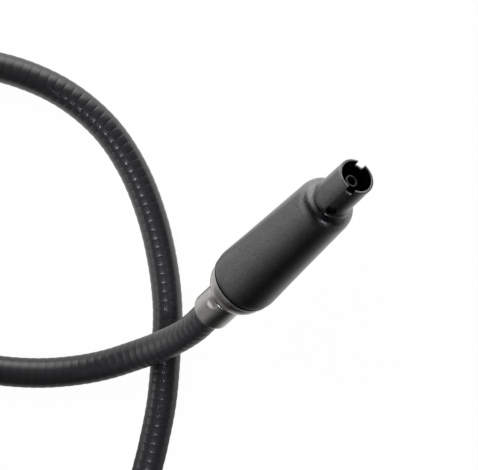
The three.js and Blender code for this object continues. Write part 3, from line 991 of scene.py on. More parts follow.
def smooth(piece: bpy.types.Object) -> None:
    """Shades a piece smooth, apart from its sharp edges, with its flat faces kept flat.

    Args:
        piece: The piece.
    """
    piece.data.polygons.foreach_set("use_smooth", [True] * len(piece.data.polygons))
    piece.data.set_sharp_from_angle(angle=CREASE_ANGLE)
    modifier = piece.modifiers.new("normals", "WEIGHTED_NORMAL")
    modifier.keep_sharp = True
    settle(piece)


def fit(
    piece: bpy.types.Object,
    node: str,
    body: Body,
    finish: Finish,
    axis: Axis | None = None,
) -> bpy.types.Object:
    """Puts a finished piece in the place of its node.

    Args:
        piece: The piece, in millimetres round its axis, or in metres where it has none.
        node: The node that it stands for.
        body: The body that it moves with.
        finish: What it is finished in.
        axis: The line that it was turned about, if any.

    Returns:
        The piece.
    """
    if axis:
        piece.data.transform(axis.matrix())
    smooth(piece)
    piece.data.materials.clear()
    piece.data.materials.append(finish.material(axis))
    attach(piece, body.value)
    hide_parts(node)
    faces = len(piece.data.polygons)
    log.info("%s: %d faces, stands for %s on %s", piece.name, faces, node, body.value)
    return piece


def coil(radius: float, wire: float, start: float, end: float, curls: int) -> np.ndarray:
    """The rings of a compression spring about the Z axis, in millimetres.

    Args:
        radius: From the axis to the middle of its wire.
        wire: Its wire's diameter.
        start: The station where it begins.
        end: The station where it ends.
        curls: The number of its curls.

    Returns:
        The points, by ring and by place in the ring.
    """
    steps, sides = 40 * curls, 12
    dead = 0.7 / curls  # the share of the wire at each end that lies flat
    bend = 6  # steps each way that soften the bend where the flat part ends
    share = np.linspace(0, 1, steps + 1)
    rise = np.clip((share - dead) / (1 - 2 * dead), 0, 1)
    window = np.full(2 * bend + 1, 1 / (2 * bend + 1))
    soft = np.convolve(np.pad(rise, bend, mode="edge"), window, mode="valid")
    height = start + wire / 2 + (end - start - wire) * soft
    turn = 2 * math.pi * curls * share
    out = np.stack((np.cos(turn), np.sin(turn), np.zeros_like(turn)), axis=-1)
    up = np.array((0.0, 0.0, 1.0))
    middle = radius * out + height[:, None] * up
    around = 2 * math.pi * np.arange(sides) / sides
    ring = out[:, None] * np.cos(around)[None, :, None] - up * np.sin(around)[None, :, None]
    return middle[:, None] + wire / 2 * ring


def press_short(
    spring: bpy.types.Object,
    axis: Axis,
    held: float,
    pushed: float,
) -> None:
    """Gives a spring its own copy of its mesh. The share that a joint would press it short by is worked
    out, but nothing presses the spring.

    Args:
        spring: The spring, in its place.
        axis: The line that it is wound about.
        held: The station of the end that stays.
        pushed: The station of the end that the joint pushes.
    """
    share = 1 - STROKE / abs(pushed - held)
    axis.at(held)
    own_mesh(spring)


# ---------------------------------------------------------------- sheath, conduit and wire


@dataclass
class Sheath:
    """The ribbed sheath, with its conduit and the wire inside.

    Attributes:
        diameter: Over its ribs.
        pitch: From rib to rib.
        ridge: How deep the hollows between its ribs are.
        bore: The radius of its bore.
        conduit: The outer and inner radius of the conduit.
        wire: The radius of the wire.
        entry: How far the sheath runs into each ferrule.
        inner_reach: How far the conduit runs past each ferrule's rim.
        wire_reach: How far the wire runs past the head's rim and past the hand piece's.
        spacing: From ring to ring of the conduit's and the wire's meshes.
        route: Points that the sheath follows, in metres from the middle of the picture.
        line: The smooth line through them, from the rim of one ferrule to the other's.
    """

    diameter: float = 5.5
    pitch: float = 1.65
    ridge: float = 0.06
    bore: float = 1.77
    conduit: tuple[float, float] = (1.33, 0.98)
    wire: float = 0.55
    entry: float = 2.0
    inner_reach: float = 11.2
    wire_reach: tuple[float, float] = (22.8, 34.0)
    spacing: float = 1.1
    route: Sequence[Point] = (
        (-0.0103, -0.0181, 0.0148),
        (-0.0144, -0.0202, 0.0107),
        (-0.0191, -0.0220, 0.0073),
        (-0.0243, -0.0237, 0.0049),
        (-0.0299, -0.0248, 0.0034),
        (-0.0365, -0.0253, 0.00275),
        (-0.0443, -0.0248, 0.00275),
        (-0.0539, -0.0229, 0.00275),
        (-0.0624, -0.0204, 0.00275),
        (-0.0702, -0.0159, 0.00275),
        (-0.0762, -0.0093, 0.00275),
        (-0.0797, -0.0008, 0.00275),
        (-0.0801, 0.0083, 0.00275),
        (-0.0776, 0.0167, 0.00275),
        (-0.0723, 0.0241, 0.00275),
        (-0.0648, 0.0293, 0.00275),
        (-0.0563, 0.0317, 0.00275),
        (-0.0464, 0.0312, 0.00275),
        (-0.0386, 0.0291, 0.00275),
        (-0.0311, 0.0253, 0.00275),
        (-0.0244, 0.0195, 0.00275),
        (-0.0195, 0.0122, 0.00275),
        (-0.0162, 0.0041, 0.00275),
        (-0.0141, -0.0045, 0.00275),
        (-0.0131, -0.0133, 0.00275),
        (-0.0134, -0.0216, 0.00275),
        (-0.0142, -0.0307, 0.00275),
        (-0.0158, -0.0389, 0.00275),
        (-0.0176, -0.0467, 0.00275),
        (-0.0181, -0.0561, 0.00275),
        (-0.0162, -0.0640, 0.00275),
        (-0.0122, -0.0711, 0.0034),
        (-0.0062, -0.0767, 0.0047),
        (0.0019, -0.0803, 0.0059),
    )
    line: np.ndarray = field(init=False)

    def __post_init__(self) -> None:
        """Works out the line that the sheath follows, between the two ferrules' rims."""
        exits = (CLEARANCE, CLEARANCE + self.diameter / 2, CLEARANCE + self.diameter)
        head = [HEAD_AXIS.at(-reach) for reach in exits]
        hand = [HAND_AXIS.at(-reach) for reach in exits]
        middle = [PICTURE_MIDDLE + Vector(point) for point in self.route]
        self.line = self._smooth_line(np.array([*head, *middle, *hand[::-1]]))

    @staticmethod
    def _smooth_line(knots: np.ndarray) -> np.ndarray:
        """A smooth line through points, as closely spaced points.

        Args:
            knots: The points that it runs through, a row each.

        Returns:
            A row for each point of a centripetal Catmull-Rom spline.
        """
        padded = np.vstack((2 * knots[0] - knots[1], knots, 2 * knots[-1] - knots[-2]))
        t = np.linspace(0, 1, LINE_STEPS, endpoint=False)[:, None]
        spans = []
        for a, b, c, d in zip(padded, padded[1:], padded[2:], padded[3:]):
            ab, bc, cd = (math.sqrt(np.linalg.norm(q - p)) for p, q in ((a, b), (b, c), (c, d)))
            leave = ((b - a) / ab - (c - a) / (ab + bc) + (c - b) / bc) * bc
            arrive = ((c - b) / bc - (d - b) / (bc + cd) + (d - c) / cd) * bc
            spans.append(
                (2 * t**3 - 3 * t**2 + 1) * b
                + (t**3 - 2 * t**2 + t) * leave
                + (3 * t**2 - 2 * t**3) * c
                + (t**3 - t**2) * arrive
            )
        return np.vstack((*spans, knots[-1:]))

    @property
    def length(self) -> float:
        """The length of the line between the two ends, in millimetres."""
        return float(np.linalg.norm(np.diff(self.line, axis=0), axis=1).sum()) / MM

    def places(self, stations: np.ndarray) -> tuple[np.ndarray, np.ndarray]:
        """Points on the line and the directions there.

        Args:
            stations: Distances along the line in millimetres, which may run straight on past its ends.

        Returns:
            The points and the unit directions, a row each.
        """
        steps = np.linalg.norm(np.diff(self.line, axis=0), axis=1)
        along = np.concatenate(([0.0], np.cumsum(steps))) / MM
        inside = np.clip(stations, 0, along[-1])
        points = np.stack([np.interp(inside, along, self.line[:, k]) for k in range(3)], axis=-1)
        slopes = np.gradient(self.line, along * MM, axis=0)
        ways = np.stack([np.interp(inside, along, slopes[:, k]) for k in range(3)], axis=-1)
        ways /= np.linalg.norm(ways, axis=1)[:, None]
        return points + ways * ((stations - inside) * MM)[:, None], ways

    def rings(self, stations: np.ndarray, radii: np.ndarray | float, sides: int) -> np.ndarray:
        """Rings of points round the line.

        Args:
            stations: Where the rings are, in millimetres along the line.
            radii: Their radii, or the radius of them all.
            sides: The number of points in each.

        Returns:
            The points in metres, by ring and by place in the ring.
        """
        points, ways = self.places(stations)
        side = np.cross((0.0, 0.0, 1.0), ways)
        side /= np.linalg.norm(side, axis=1)[:, None]
        up = np.cross(ways, side)
        angle = 2 * math.pi * (np.arange(sides) + 0.5) / sides
        sine, cosine = np.sin(angle)[None, :, None], np.cos(angle)[None, :, None]
        spoke = side[:, None] * cosine + up[:, None] * sine
        reach = np.broadcast_to(radii, len(stations)) * MM
        return points[:, None] + spoke * reach[:, None, None]

    def build(self) -> None:
        conduit = self._conduit()
        wire = self._wire()
        cover = self._cover()
        path = self.places(np.arange(-self.entry, self.length + self.entry, self.pitch))[0]
        (self.length + 2 * self.entry) * MM

    def _cover(self) -> bpy.types.Object:
        """The ribbed cover: a tube of low rounded ribs with narrow hollows between them.

        Returns:
            The cover.
        """
        ribs = round(self.length / self.pitch)
        pitch = self.length / ribs
        side = (0.1, 0.22, 0.32, 0.39, 0.44, 0.475)  # places from a rib's crest to its hollow
        shape = np.array((-0.5, *(-place for place in reversed(side)), 0.0, *side))
        extra = math.ceil(self.entry / pitch)
        order = np.arange(-extra, ribs + extra)
        stations = ((order[:, None] + 0.5 + shape[None]) * pitch).ravel()
        strength = np.random.default_rng(7).uniform(0.8, 1.0, len(order))
        height = 1 - (strength[:, None] * np.abs(2 * shape)[None] ** 3).ravel()
        kept = (stations > -self.entry) & (stations < self.length + self.entry)
        stations, height = stations[kept], height[kept]
        sides = 32
        radii = self.diameter / 2 - self.ridge * (1 - height)
        outside = self.rings(stations, radii, sides)
        inner_stations = np.linspace(stations[0], stations[-1], ribs // 2)
        inside = self.rings(inner_stations, self.bore, sides)
        cover = skin("ribbed_cover", np.concatenate((outside, inside[::-1])), closed=True)
        rib = np.concatenate((np.repeat(height, sides), np.zeros(len(inner_stations) * sides)))
        set_mark(cover, "rib", rib)
        return fit(cover, "sheath", Body.RELEASE_LINE, RIBBED_COVER)

    def _conduit(self) -> bpy.types.Object:
        """The conduit, a tube that the wire runs in.

        Returns:
            The conduit.
        """
        start, end = -self.inner_reach - CLEARANCE, self.length + CLEARANCE + self.inner_reach
        stations = np.arange(start, end, self.spacing)
        outer, inner = self.conduit
        outside = self.rings(stations, outer, 20)
        inside = self.rings(stations, inner, 20)
        tube = skin("wound_conduit", np.concatenate((outside, inside[::-1])), closed=True)
        return fit(tube, "conduit", Body.RELEASE_LINE, BLACKENED_STEEL)

    def _wire(self) -> bpy.types.Object:
        """The wire that carries the push.

        Returns:
            The wire.
        """
        head, hand = self.wire_reach
        stations = np.arange(-head - CLEARANCE, self.length + CLEARANCE + hand, self.spacing)
        rod = skin("push_wire", self.rings(stations, self.wire, 14), closed=False)
        return fit(rod, "inner_wire", Body.RELEASE_LINE, BRIGHT_STEEL)


# ---------------------------------------------------------------- the two ends


@dataclass
class SheathEnd:
    """What both ends of the sheath have: a ferrule with a crimp mark, and a domed cap.

    Attributes:
        axis: The line that its pieces are turned about.
        sheath_bore: The radius of the bore that the sheath's inside runs on in.
        socket: The radius and the depth of the hole that the sheath is fixed in.
        ferrule: The ferrule's radius and length.
        neck: The radius of its neck, and the station where the neck ends.
        crimp: The crimp mark's diameter, depth, station and angle.
        crimp_lip: How high the mark's lip stands.
        dome: The dome's radius and the station of its middle.
        cap_rear: The station where the cap begins.
        cap_rim: The radius of the cap's rim, and the stations where it begins and ends.
        cap_step: The station of the cap's inner step.
        barrel_rear: The station where the barrel begins.
    """

    axis: Axis
    sheath_bore: float = 1.77
    socket: tuple[float, float] = (2.8, 2.3)
    ferrule: tuple[float, float] = (3.55, 6.6)
    neck: tuple[float, float] = (2.466, 10.7)
    crimp: tuple[float, float, float, float] = (2.2, 0.09, 5.45, -20.0)
    crimp_lip: float = 0.015
    dome: tuple[float, float] = (5.62, 11.257)
    cap_rear: float = 6.9
    cap_rim: tuple[float, float, float] = (5.92, 11.757, 12.207)
    cap_step: float = 11.5
    barrel_rear: float = 12.507

    def make_ferrule(self, name: str, node: str) -> None:
        """Makes the ferrule.

        Args:
            name: The piece's name.
            node: The node that it stands for.
        """
        radius, length = self.ferrule
        width, _, station, _ = self.crimp
        socket, bottom = self.socket
        fine = [Corner(radius, s) for s in np.arange(station - 0.8 * width, length - 0.15, 0.07)]
        body = turned(
            name,
            [
                Corner(socket, 0.0, 0.15),
                Corner(radius, 0.0, 0.45),
                *fine,
                Corner(radius, length, 0.1),
                Corner(self.neck[0], length),
                Corner(self.neck[0], self.neck[1], 0.15),
                Corner(self.sheath_bore, self.neck[1]),
                Corner(self.sheath_bore, bottom),
                Corner(socket, bottom),
            ],
            segments=288,
        )
        self._press(body)
        fit(body, node, Body.RELEASE_LINE, SATIN_NICKEL, self.axis)

    def _press(self, body: bpy.types.Object) -> None:
        """Presses the crimp mark into the outside of the ferrule.

        Args:
            body: The ferrule, in millimetres.
        """
        width, depth, station, angle = self.crimp
        points = read_points(body)
        radius = np.hypot(points[:, 0], points[:, 1])
        turn = np.arctan2(points[:, 1], points[:, 0]) - math.radians(angle)
        away = np.hypot(radius * turn, points[:, 2] - station) / (width / 2)
        dip = depth * np.clip(1 - away**2, 0, 1) ** 1.6
        lip = self.crimp_lip * np.exp(-(((away - 1.1) / 0.3) ** 2))
        outside = radius > self.ferrule[0] - 0.01
        change = np.where(outside, 1 - (dip - lip) / np.maximum(radius, 1e-6), 1.0)
        points[:, :2] *= change[:, None]
        body.data.vertices.foreach_set("co", points.ravel())

    def dome_corners(self) -> list[Corner]:
        """The cap's outside, from the ferrule's neck to the rim that meets the barrel.

        Returns:
            Its corners, from rear to front.
        """
        radius, middle = self.dome
        rim, rim_rear, rim_front = self.cap_rim
        start = math.degrees(math.asin((self.cap_rear - middle) / radius))
        return [
            Corner(self.neck[0] + CLEARANCE, self.cap_rear),
            *bow((0.0, middle), (radius, radius), start, 0.0, 22),
            Corner(rim, rim_rear, 0.15),
            Corner(rim, rim_front - 0.14),
            # painted shade: the rim's front edge and face, in the seam against the barrel, are darkened
            # in colour
            Corner(rim, rim_front, 0.05, painted_shade=1.0),
            Corner(rim - 0.1, rim_front, painted_shade=1.0),
        ]


@dataclass
class CameraEnd(SheathEnd):
    """The end that fits on the camera: cap, swivelling coupling, bush and sprung pin.

    Attributes:
        axis: The line that its pieces are turned about.
        journal: The radius of the way that the coupling turns on, and the station where it ends.
        clip_groove: The groove for the swivel's clip: its radii in cap and coupling, and its stations.
        nose: The radius of the cap's nose, and the station where it ends.
        throat: The radius of the bore that the wire's sleeve runs in.
        barrel: The radii of the barrel at its rear edge, where it is widest, at its break and in front.
        break_station: The station where the barrel's taper changes.
        shoulder: The station where the rounded shoulder starts, and its length.
        nozzle: The nozzle's radius at its root and at its mouth.
        fillet: The radius in the corner between shoulder and nozzle.
        mouth: The station of the mouth.
        socket_radius: The radius of the hole in the nozzle.
        chamber: The radius of the spring's chamber.
        notch: The width, depth, corner radius and angle of the notches.
        screw_hole: The hole's diameter, station and angle, and the radius that it starts from.
        screw_slot: The width and the depth of the slot in the grub screw.
        bush: The bush's bore, its radius and its length in the nozzle.
        bush_flange: How thick the bush's flange is.
        pin: The pin's radius, the radius of its hollow and the station of its tip.
        pin_hollow: How deep its hollow is.
        pin_flange: How thick the pin's flange is.
        spring: The spring's radius, the wire's diameter and the number of curls.
    """

    axis: Axis = HEAD_AXIS
    journal: tuple[float, float] = (4.45, 17.807)
    clip_groove: tuple[float, float, float, float] = (3.95, 5.25, 15.807, 17.007)
    nose: tuple[float, float] = (3.0, 23.407)
    throat: float = 1.65
    barrel: tuple[float, float, float, float] = (5.98, 6.1, 5.77, 5.11)
    break_station: float = 20.807
    shoulder: tuple[float, float] = (39.207, 2.55)
    nozzle: tuple[float, float] = (3.4, 3.3)
    fillet: float = 0.6
    mouth: float = 50.257
    socket_radius: float = 2.83
    chamber: float = 3.3
    notch: tuple[float, float, float, float] = (1.4, 1.2, 0.35, 18.0)
    screw_hole: tuple[float, float, float, float] = (1.76, 43.357, 21.0, 1.7)
    screw_slot: tuple[float, float] = (0.25, 0.3)
    bush: tuple[float, float, float] = (1.42, 2.53, 5.6)
    bush_flange: float = 1.0
    pin: tuple[float, float, float] = (1.12, 0.8, 48.637)
    pin_hollow: float = 1.5
    pin_flange: float = 1.1
    spring: tuple[float, float, int] = (2.6, 0.4, 8)

    def build(self) -> None:
        """Makes every piece of the end."""
        self.make_ferrule("head_ferrule_shell", "head_ferrule")
        self._cap()
        self._coupling()
        self._bush()
        self._screw()
        self._pin()
        self._spring()

    def _cap(self) -> None:
        """The domed cap, whose long journal the coupling turns on."""
        groove, _, groove_rear, groove_front = self.clip_groove
        radius, end = self.journal
        nose, nose_end = self.nose
        body = turned(
            "head_cap_dome",
            [
                *self.dome_corners(),
                # painted shade on the cap's front face in the seam
                Corner(radius, self.cap_rim[2], painted_shade=1.0),
                Corner(radius, groove_rear),
                Corner(groove, groove_rear),
                Corner(groove, groove_front),
                Corner(radius, groove_front),
                Corner(radius, end, 0.12),
                Corner(nose, end),
                Corner(nose, nose_end, 0.15),
                Corner(self.throat, nose_end, 0.1),
                Corner(self.throat, self.cap_step),
                Corner(self.neck[0] + CLEARANCE, self.cap_step),
            ],
            segments=160,
        )
        fit(body, "end_cap", Body.RELEASE_LINE, SATIN_NICKEL, self.axis)

    def _coupling(self) -> None:
        """Barrel, shoulder and nozzle, one turning with two notches and a screw's hole."""
        way = self.journal[0] + CLEARANCE
        _, groove, groove_rear, groove_front = self.clip_groove
        rear, widest, broken, front = self.barrel
        shoulder, length = self.shoulder
        root, mouth_radius = self.nozzle
        width = front - root - self.fillet
        fillet = self.fillet
        body = turned(
            "coupling_shell",
            [
                # painted shade: the barrel's rear face and edge, in the seam against the cap, are
                # darkened in colour
                Corner(way, self.barrel_rear, painted_shade=1.0),
                Corner(rear - 0.12, self.barrel_rear, painted_shade=1.0),
                Corner(rear, self.barrel_rear, 0.07, painted_shade=1.0),
                Corner(rear + 0.2 * (widest - rear), self.barrel_rear + 0.16, painted_shade=0.25),
                Corner(rear + 0.65 * (widest - rear), self.barrel_rear + 0.47),
                Corner(widest, self.barrel_rear + 1.0),
                Corner(widest - 0.1, self.barrel_rear + 3.2),
                Corner(broken, self.break_station),
                *bow((front - width, shoulder), (width, length), 0.0, 80.0, 16),
                *bow((root + fillet, shoulder + length + fillet), (fillet, fillet), 240.0, 180.0, 6),
                Corner(mouth_radius, self.mouth, 0.12),
                Corner(self.socket_radius, self.mouth, 0.1),
                Corner(self.socket_radius, shoulder),
                Corner(self.chamber, shoulder),
                Corner(self.chamber, self.journal[1] + CLEARANCE),
                Corner(way, self.journal[1] + CLEARANCE),
                Corner(way, groove_front),
                Corner(groove, groove_front),
                Corner(groove, groove_rear),
                Corner(way, groove_rear),
            ],
            segments=192,
        )
        carve(body, [self._notches(), self._screw_drill()], edge=0.05)
        self._darken_cuts(body)
        fit(body, "coupling_body", Body.COUPLING, SATIN_LACQUER, self.axis)

    def _darken_cuts(self, body: bpy.types.Object) -> None:
        """Paints shade into the colour of the notches' floors and of the screw hole's wall on the side
        that light doesn't reach.

        Args:
            body: The coupling, in millimetres.
        """
        diameter, station, angle, _ = self.screw_hole
        points = read_points(body)
        out = np.array((math.cos(math.radians(angle)), math.sin(math.radians(angle)), 0.0))
        spoke = points - np.array((0.0, 0.0, station))
        reach = spoke @ out
        away = np.linalg.norm(spoke - reach[:, None] * out, axis=1)
        painted_shade = np.zeros(len(points), dtype=np.float32)
        attribute = body.data.attributes["painted_shade"]
        attribute.data.foreach_get("value", painted_shade)
        margin = 0.02  # that cut points may be off by
        wall = (away < diameter / 2 + margin) & (reach > 1.0) & (reach < self.nozzle[1] - 0.2)
        open_side = np.array((-out[1], out[0], 0.0))  # the side of the wall that light reaches
        # painted shade on the hole's wall where light doesn't reach it
        painted_shade[wall & ((spoke @ open_side) < 0.25 * diameter)] = 1.0
        radius = np.hypot(points[:, 0], points[:, 1])
        floor = np.abs(points[:, 2] - self.mouth + self.notch[1]) < 0.4
        # painted shade on the notches' floors
        painted_shade[floor & (radius < self.nozzle[1] - margin)] = 1.0
        attribute.data.foreach_set("value", painted_shade)

    def _notches(self) -> bpy.types.Object:
        """The bar that cuts both notches, with its lower corners rounded.

        Returns:
            The bar, in place in millimetres.
        """
        width, depth, rounding, angle = self.notch
        half, floor, above = width / 2, self.mouth - depth, self.mouth + 2
        left = [
            (rounding * (1 - math.cos(a)) - half, floor + rounding * (1 - math.sin(a)))
            for a in np.radians((0, 22.5, 45, 67.5, 90))
        ]
        right = [(-y, z) for y, z in reversed(left)]
        bar = prism("notches", [(half, above), (-half, above), *left, *right], 6.0)
        bar.data.transform(Matrix.Rotation(math.radians(angle), 4, "Z"))
        return bar

    def _screw_drill(self) -> bpy.types.Object:
        """The drill for the screw's hole, in place in millimetres."""
        diameter, station, angle, start = self.screw_hole
        return cross_drill(diameter / 2, start, 6, station, angle)

    def _bush(self) -> None:
        """The guide bush that the pin runs in."""
        bore, radius, length = self.bush
        flange, front = self.nose[0], self.shoulder[0] - CLEARANCE
        body = turned(
            "guide_bush_body",
            [
                Corner(bore, front - self.bush_flange),
                Corner(flange, front - self.bush_flange),
                Corner(flange, front),
                Corner(radius, front),
                Corner(radius, front + length, 0.12),
                Corner(bore, front + length, 0.15),
            ],
            segments=128,
        )
        carve(body, [self._screw_drill()], edge=0.03)
        fit(body, "guide_bush", Body.COUPLING, BLACKENED_STEEL, self.axis)

    def _screw(self) -> None:
        """The grub screw in the side of the nozzle."""
        diameter, station, angle, start = self.screw_hole
        radius, tip, top = diameter / 2 - CLEARANCE, start + CLEARANCE, self.nozzle[0] - 0.45
        body = turned(
            "grub_screw",
            [Corner(0, tip), Corner(radius, tip, 0.08), Corner(radius, top, 0.06), Corner(0, top)],
            segments=48,
        )
        slot = slot_bar(*self.screw_slot, top, 2.0)
        slot.data.transform(Matrix.Rotation(math.pi / 2, 4, "Z"))
        carve(body, [slot], edge=0.02)
        fit(body, "bush_grub_screw", Body.COUPLING, BLACKENED_STEEL, self.axis.branch(station, angle))

    def _pin(self) -> None:
        """The release pin, whose hollow end shows in the mouth."""
        radius, hollow, tip = self.pin
        flange, rear = self.nose[0], self.nose[1] + CLEARANCE
        body = turned(
            "release_pin_body",
            [
                Corner(0, rear),
                Corner(flange, rear, 0.1),
                Corner(flange, rear + self.pin_flange, 0.1),
                Corner(radius, rear + self.pin_flange),
                Corner(radius, tip, 0.07),
                Corner(hollow, tip, 0.05),
                Corner(hollow, tip - self.pin_hollow),
                Corner(0, tip - self.pin_hollow - hollow / 2),
            ],
            segments=96,
        )
        fit(body, "release_pin", Body.PIN, BLACKENED_STEEL, self.axis)

    def _spring(self) -> None:
        """The spring that draws the pin back."""
        radius, wire, curls = self.spring
        start = self.nose[1] + 2 * CLEARANCE + self.pin_flange
        end = self.shoulder[0] - 2 * CLEARANCE - self.bush_flange
        body = skin("pin_return_spring", coil(radius, wire, start, end, curls), closed=False)
        fit(body, "pin_spring", Body.COUPLING, BRIGHT_STEEL, self.axis)
        press_short(body, self.axis, held=end, pushed=start)


@dataclass
class HandPiece(SheathEnd):
    """The end that the fingers hold: barrel, finger plate, guide nut, plunger and lock screw.

    Attributes:
        axis: The line that its pieces are turned about.
        spigot: The radius of the cap's spigot, and the station where it ends.
        rod_way: The radius that the rod runs in.
        barrel: The barrel's radius at its rear and in front, its bore and its length.
        grooves: The number of grip grooves, their start, pitch, width and depth.
        plate: The finger plate's width, half height and thickness.
        nut: The nut's flange radius, length, teeth and the length of its spigot.
        tooth: How deep the teeth are.
        rod: The rod's radius, its bore's radius, and the stations where it begins and ends.
        rod_bore_end: The station where its bore ends.
        button: The button's radius and thickness, and the stations of its hub's rear and its own.
        hub_wall: How thick the hub's wall is round the rod.
        dish: How deep the button is dished, and the width of its rim.
        dish_rings: The radii of the fine rings in the dish.
        ring_size: How deep those rings are, and how far each reaches.
        lock: The lock screw's stem radius, head radius, head length and teeth.
        lock_thread: The pitch and the depth of its thread.
        lock_slot: The width and the depth of the slot in its head.
        collar: How long the rod's collar is, which the spring bears on.
        spring: The spring's radius, the wire's diameter and the number of curls.
    """

    axis: Axis = HAND_AXIS
    spigot: tuple[float, float] = (3.7, 16.607)
    rod_way: float = 1.9
    barrel: tuple[float, float, float, float] = (6.1, 5.5, 4.0, 29.2)
    grooves: tuple[int, float, float, float, float] = (3, 6.5, 2.6, 0.9, 0.35)
    plate: tuple[float, float, float] = (27.0, 6.4, 1.8)
    nut: tuple[float, float, int, float] = (4.8, 3.0, 18, 8.3)
    tooth: float = 0.22
    rod: tuple[float, float, float, float] = (1.6, 0.9, 26.207, 56.807)
    rod_bore_end: float = 41.307
    button: tuple[float, float, float, float] = (5.9, 2.6, 54.707, 55.607)
    hub_wall: float = 0.8
    dish: tuple[float, float] = (0.45, 1.1)
    dish_rings: tuple[float, float, float] = (1.6, 2.7, 3.8)
    ring_size: tuple[float, float] = (0.09, 0.11)
    lock: tuple[float, float, float, int] = (0.9, 2.2, 2.6, 14)
    lock_thread: tuple[float, float] = (0.35, 0.1)
    lock_slot: tuple[float, float] = (0.5, 0.5)
    collar: float = 1.5
    spring: tuple[float, float, int] = (3.0, 0.5, 8)

    @property
    def barrel_front(self) -> float:
        """The station where the barrel ends."""
        return self.barrel_rear + self.barrel[3]

    @property
    def nut_rear(self) -> float:
        """The station of the nut's flange, which bears on the plate."""
        return self.barrel_front + self.plate[2] + 2 * CLEARANCE

    @property
    def lock_station(self) -> float:
        """The station of the lock screw."""
        return (self.nut_rear - self.nut[3] + self.barrel_front + CLEARANCE) / 2

    def build(self) -> None:
        """Makes every piece of the end."""
        self.make_ferrule("hand_ferrule_shell", "hand_ferrule")
        self._cap()
        self._barrel()
        self._plate()
        self._nut()
        self._rod()
        self._button()
        self._lock()
        self._spring()

    def _cap(self) -> None:
        """The domed cap behind the barrel."""
        radius, end = self.spigot
        body = turned(
            "hand_cap_dome",
            [
                *self.dome_corners(),
                # painted shade on the cap's front face in the seam
                Corner(radius, self.cap_rim[2], painted_shade=1.0),
                Corner(radius, end, 0.15),
                Corner(self.rod_way, end, 0.1),
                Corner(self.rod_way, self.cap_step),
                Corner(self.neck[0] + CLEARANCE, self.cap_step),
            ],
            segments=160,
        )
        fit(body, "hand_cap", Body.RELEASE_LINE, SATIN_NICKEL, self.axis)

    def _radius_at(self, station: float) -> float:
        """The barrel's outer radius at a station."""
        rear, front, _, length = self.barrel
        return rear - (rear - front) * (station - self.barrel_rear) / length

    def _groove(self, start: float) -> list[Corner]:
        """The corners of one grip groove.

        Args:
            start: The station where it begins.

        Returns:
            Its corners, from rear to front.
        """
        _, _, _, width, depth = self.grooves
        slope, end = width / 4, start + width
        return [
            Corner(self._radius_at(start), start, 0.1),
            Corner(self._radius_at(start) - depth, start + slope, 0.08),
            Corner(self._radius_at(end) - depth, end - slope, 0.08),
            Corner(self._radius_at(end), end, 0.1),
        ]

    def _lock_drill(self) -> bpy.types.Object:
        """The drill for the lock screw's hole, in place in millimetres."""
        return cross_drill(self.lock[0] + CLEARANCE, self.rod_way / 2, 12, self.lock_station, 0.0)

    def _barrel(self) -> None:
        """The barrel, with its grip grooves."""
        rear, front, bore, _ = self.barrel
        count, start, pitch, _, _ = self.grooves
        grooves = [self._groove(self.barrel_rear + start + index * pitch) for index in range(count)]
        body = turned(
            "hand_barrel_shell",
            [
                Corner(bore, self.barrel_rear),
                Corner(rear, self.barrel_rear, 0.35),
                *[corner for groove in grooves for corner in groove],
                Corner(front, self.barrel_front, 0.35),
                Corner(bore, self.barrel_front),
            ],
            segments=160,
        )
        carve(body, [self._lock_drill()], edge=0.05)
        fit(body, "hand_barrel", Body.RELEASE_LINE, SATIN_LACQUER, self.axis)

    def _plate(self) -> None:
        """The finger plate, with round ends and softened edges."""
        width, half, thickness = self.plate
        straight = width / 2 - half
        hole = self.barrel[2]
        rear = self.barrel_front + CLEARANCE

        def reach(angles: np.ndarray, radius: float) -> np.ndarray:
            """Keeps the hole round, and stretches the circle outside.

            Args:
                angles: The angles round a ring.
                radius: The ring's radius in the outline.

            Returns:
                Its radius at each angle.
            """
            if radius < (hole + half) / 2:
                return np.full(len(angles), radius)
            sine, cosine = np.abs(np.sin(angles)), np.abs(np.cos(angles))
            flank = radius / np.maximum(cosine, 1e-9)
            end = straight * sine + np.sqrt(np.maximum(radius**2 - (straight * cosine) ** 2, 0))
            return np.where(flank * sine <= straight, flank, end)

        body = turned(
            "finger_plate_body",
            [
                Corner(hole, rear, 0.1),
                Corner(half, rear, 0.4),
                Corner(half, rear + thickness, 0.4),
                Corner(hole, rear + thickness, 0.1),
            ],
            segments=256,
            reach=reach,
        )
        fit(body, "finger_plate", Body.RELEASE_LINE, SATIN_LACQUER, self.axis)

    def _teeth(self, rim: float, count: int) -> Reach:
        """The radius of a knurled rim by angle.

        Args:
            rim: The radius over the teeth.
            count: The number of teeth.

        Returns:
            What turned() takes as reach.
        """
        band, fade = 0.3, 0.25  # how far in the teeth go, and how much of that they fade in over

        def reach(angles: np.ndarray, radius: float) -> np.ndarray:
            """Cuts the teeth near the rim, and keeps the rest round.

            Args:
                angles: The angles round a ring.
                radius: The ring's radius in the outline.

            Returns:
                Its radius at each angle.
            """
            if radius < rim - band:
                return np.full(len(angles), radius)
            hollow = np.abs(np.sin(angles * count / 2)) ** 3
            return radius - self.tooth * hollow * np.clip((radius - rim + band) / fade, 0, 1)

        return reach

    def _nut(self) -> None:
        """The guide nut that clamps the finger plate to the barrel."""
        rim, length, teeth, spigot = self.nut
        inner, front = self.nut_rear - spigot, self.nut_rear + length
        radius = self.spigot[0]
        body = turned(
            "guide_nut_body",
            [
                Corner(self.rod_way, inner),
                Corner(radius, inner, 0.2),
                Corner(radius, self.nut_rear),
                Corner(rim, self.nut_rear, 0.2),
                Corner(rim, front, 0.3),
                Corner(self.rod_way, front, 0.3),
            ],
            segments=teeth * 12,
            reach=self._teeth(rim, teeth),
        )
        carve(body, [self._lock_drill()])
        fit(body, "guide_nut", Body.RELEASE_LINE, SATIN_LACQUER, self.axis)

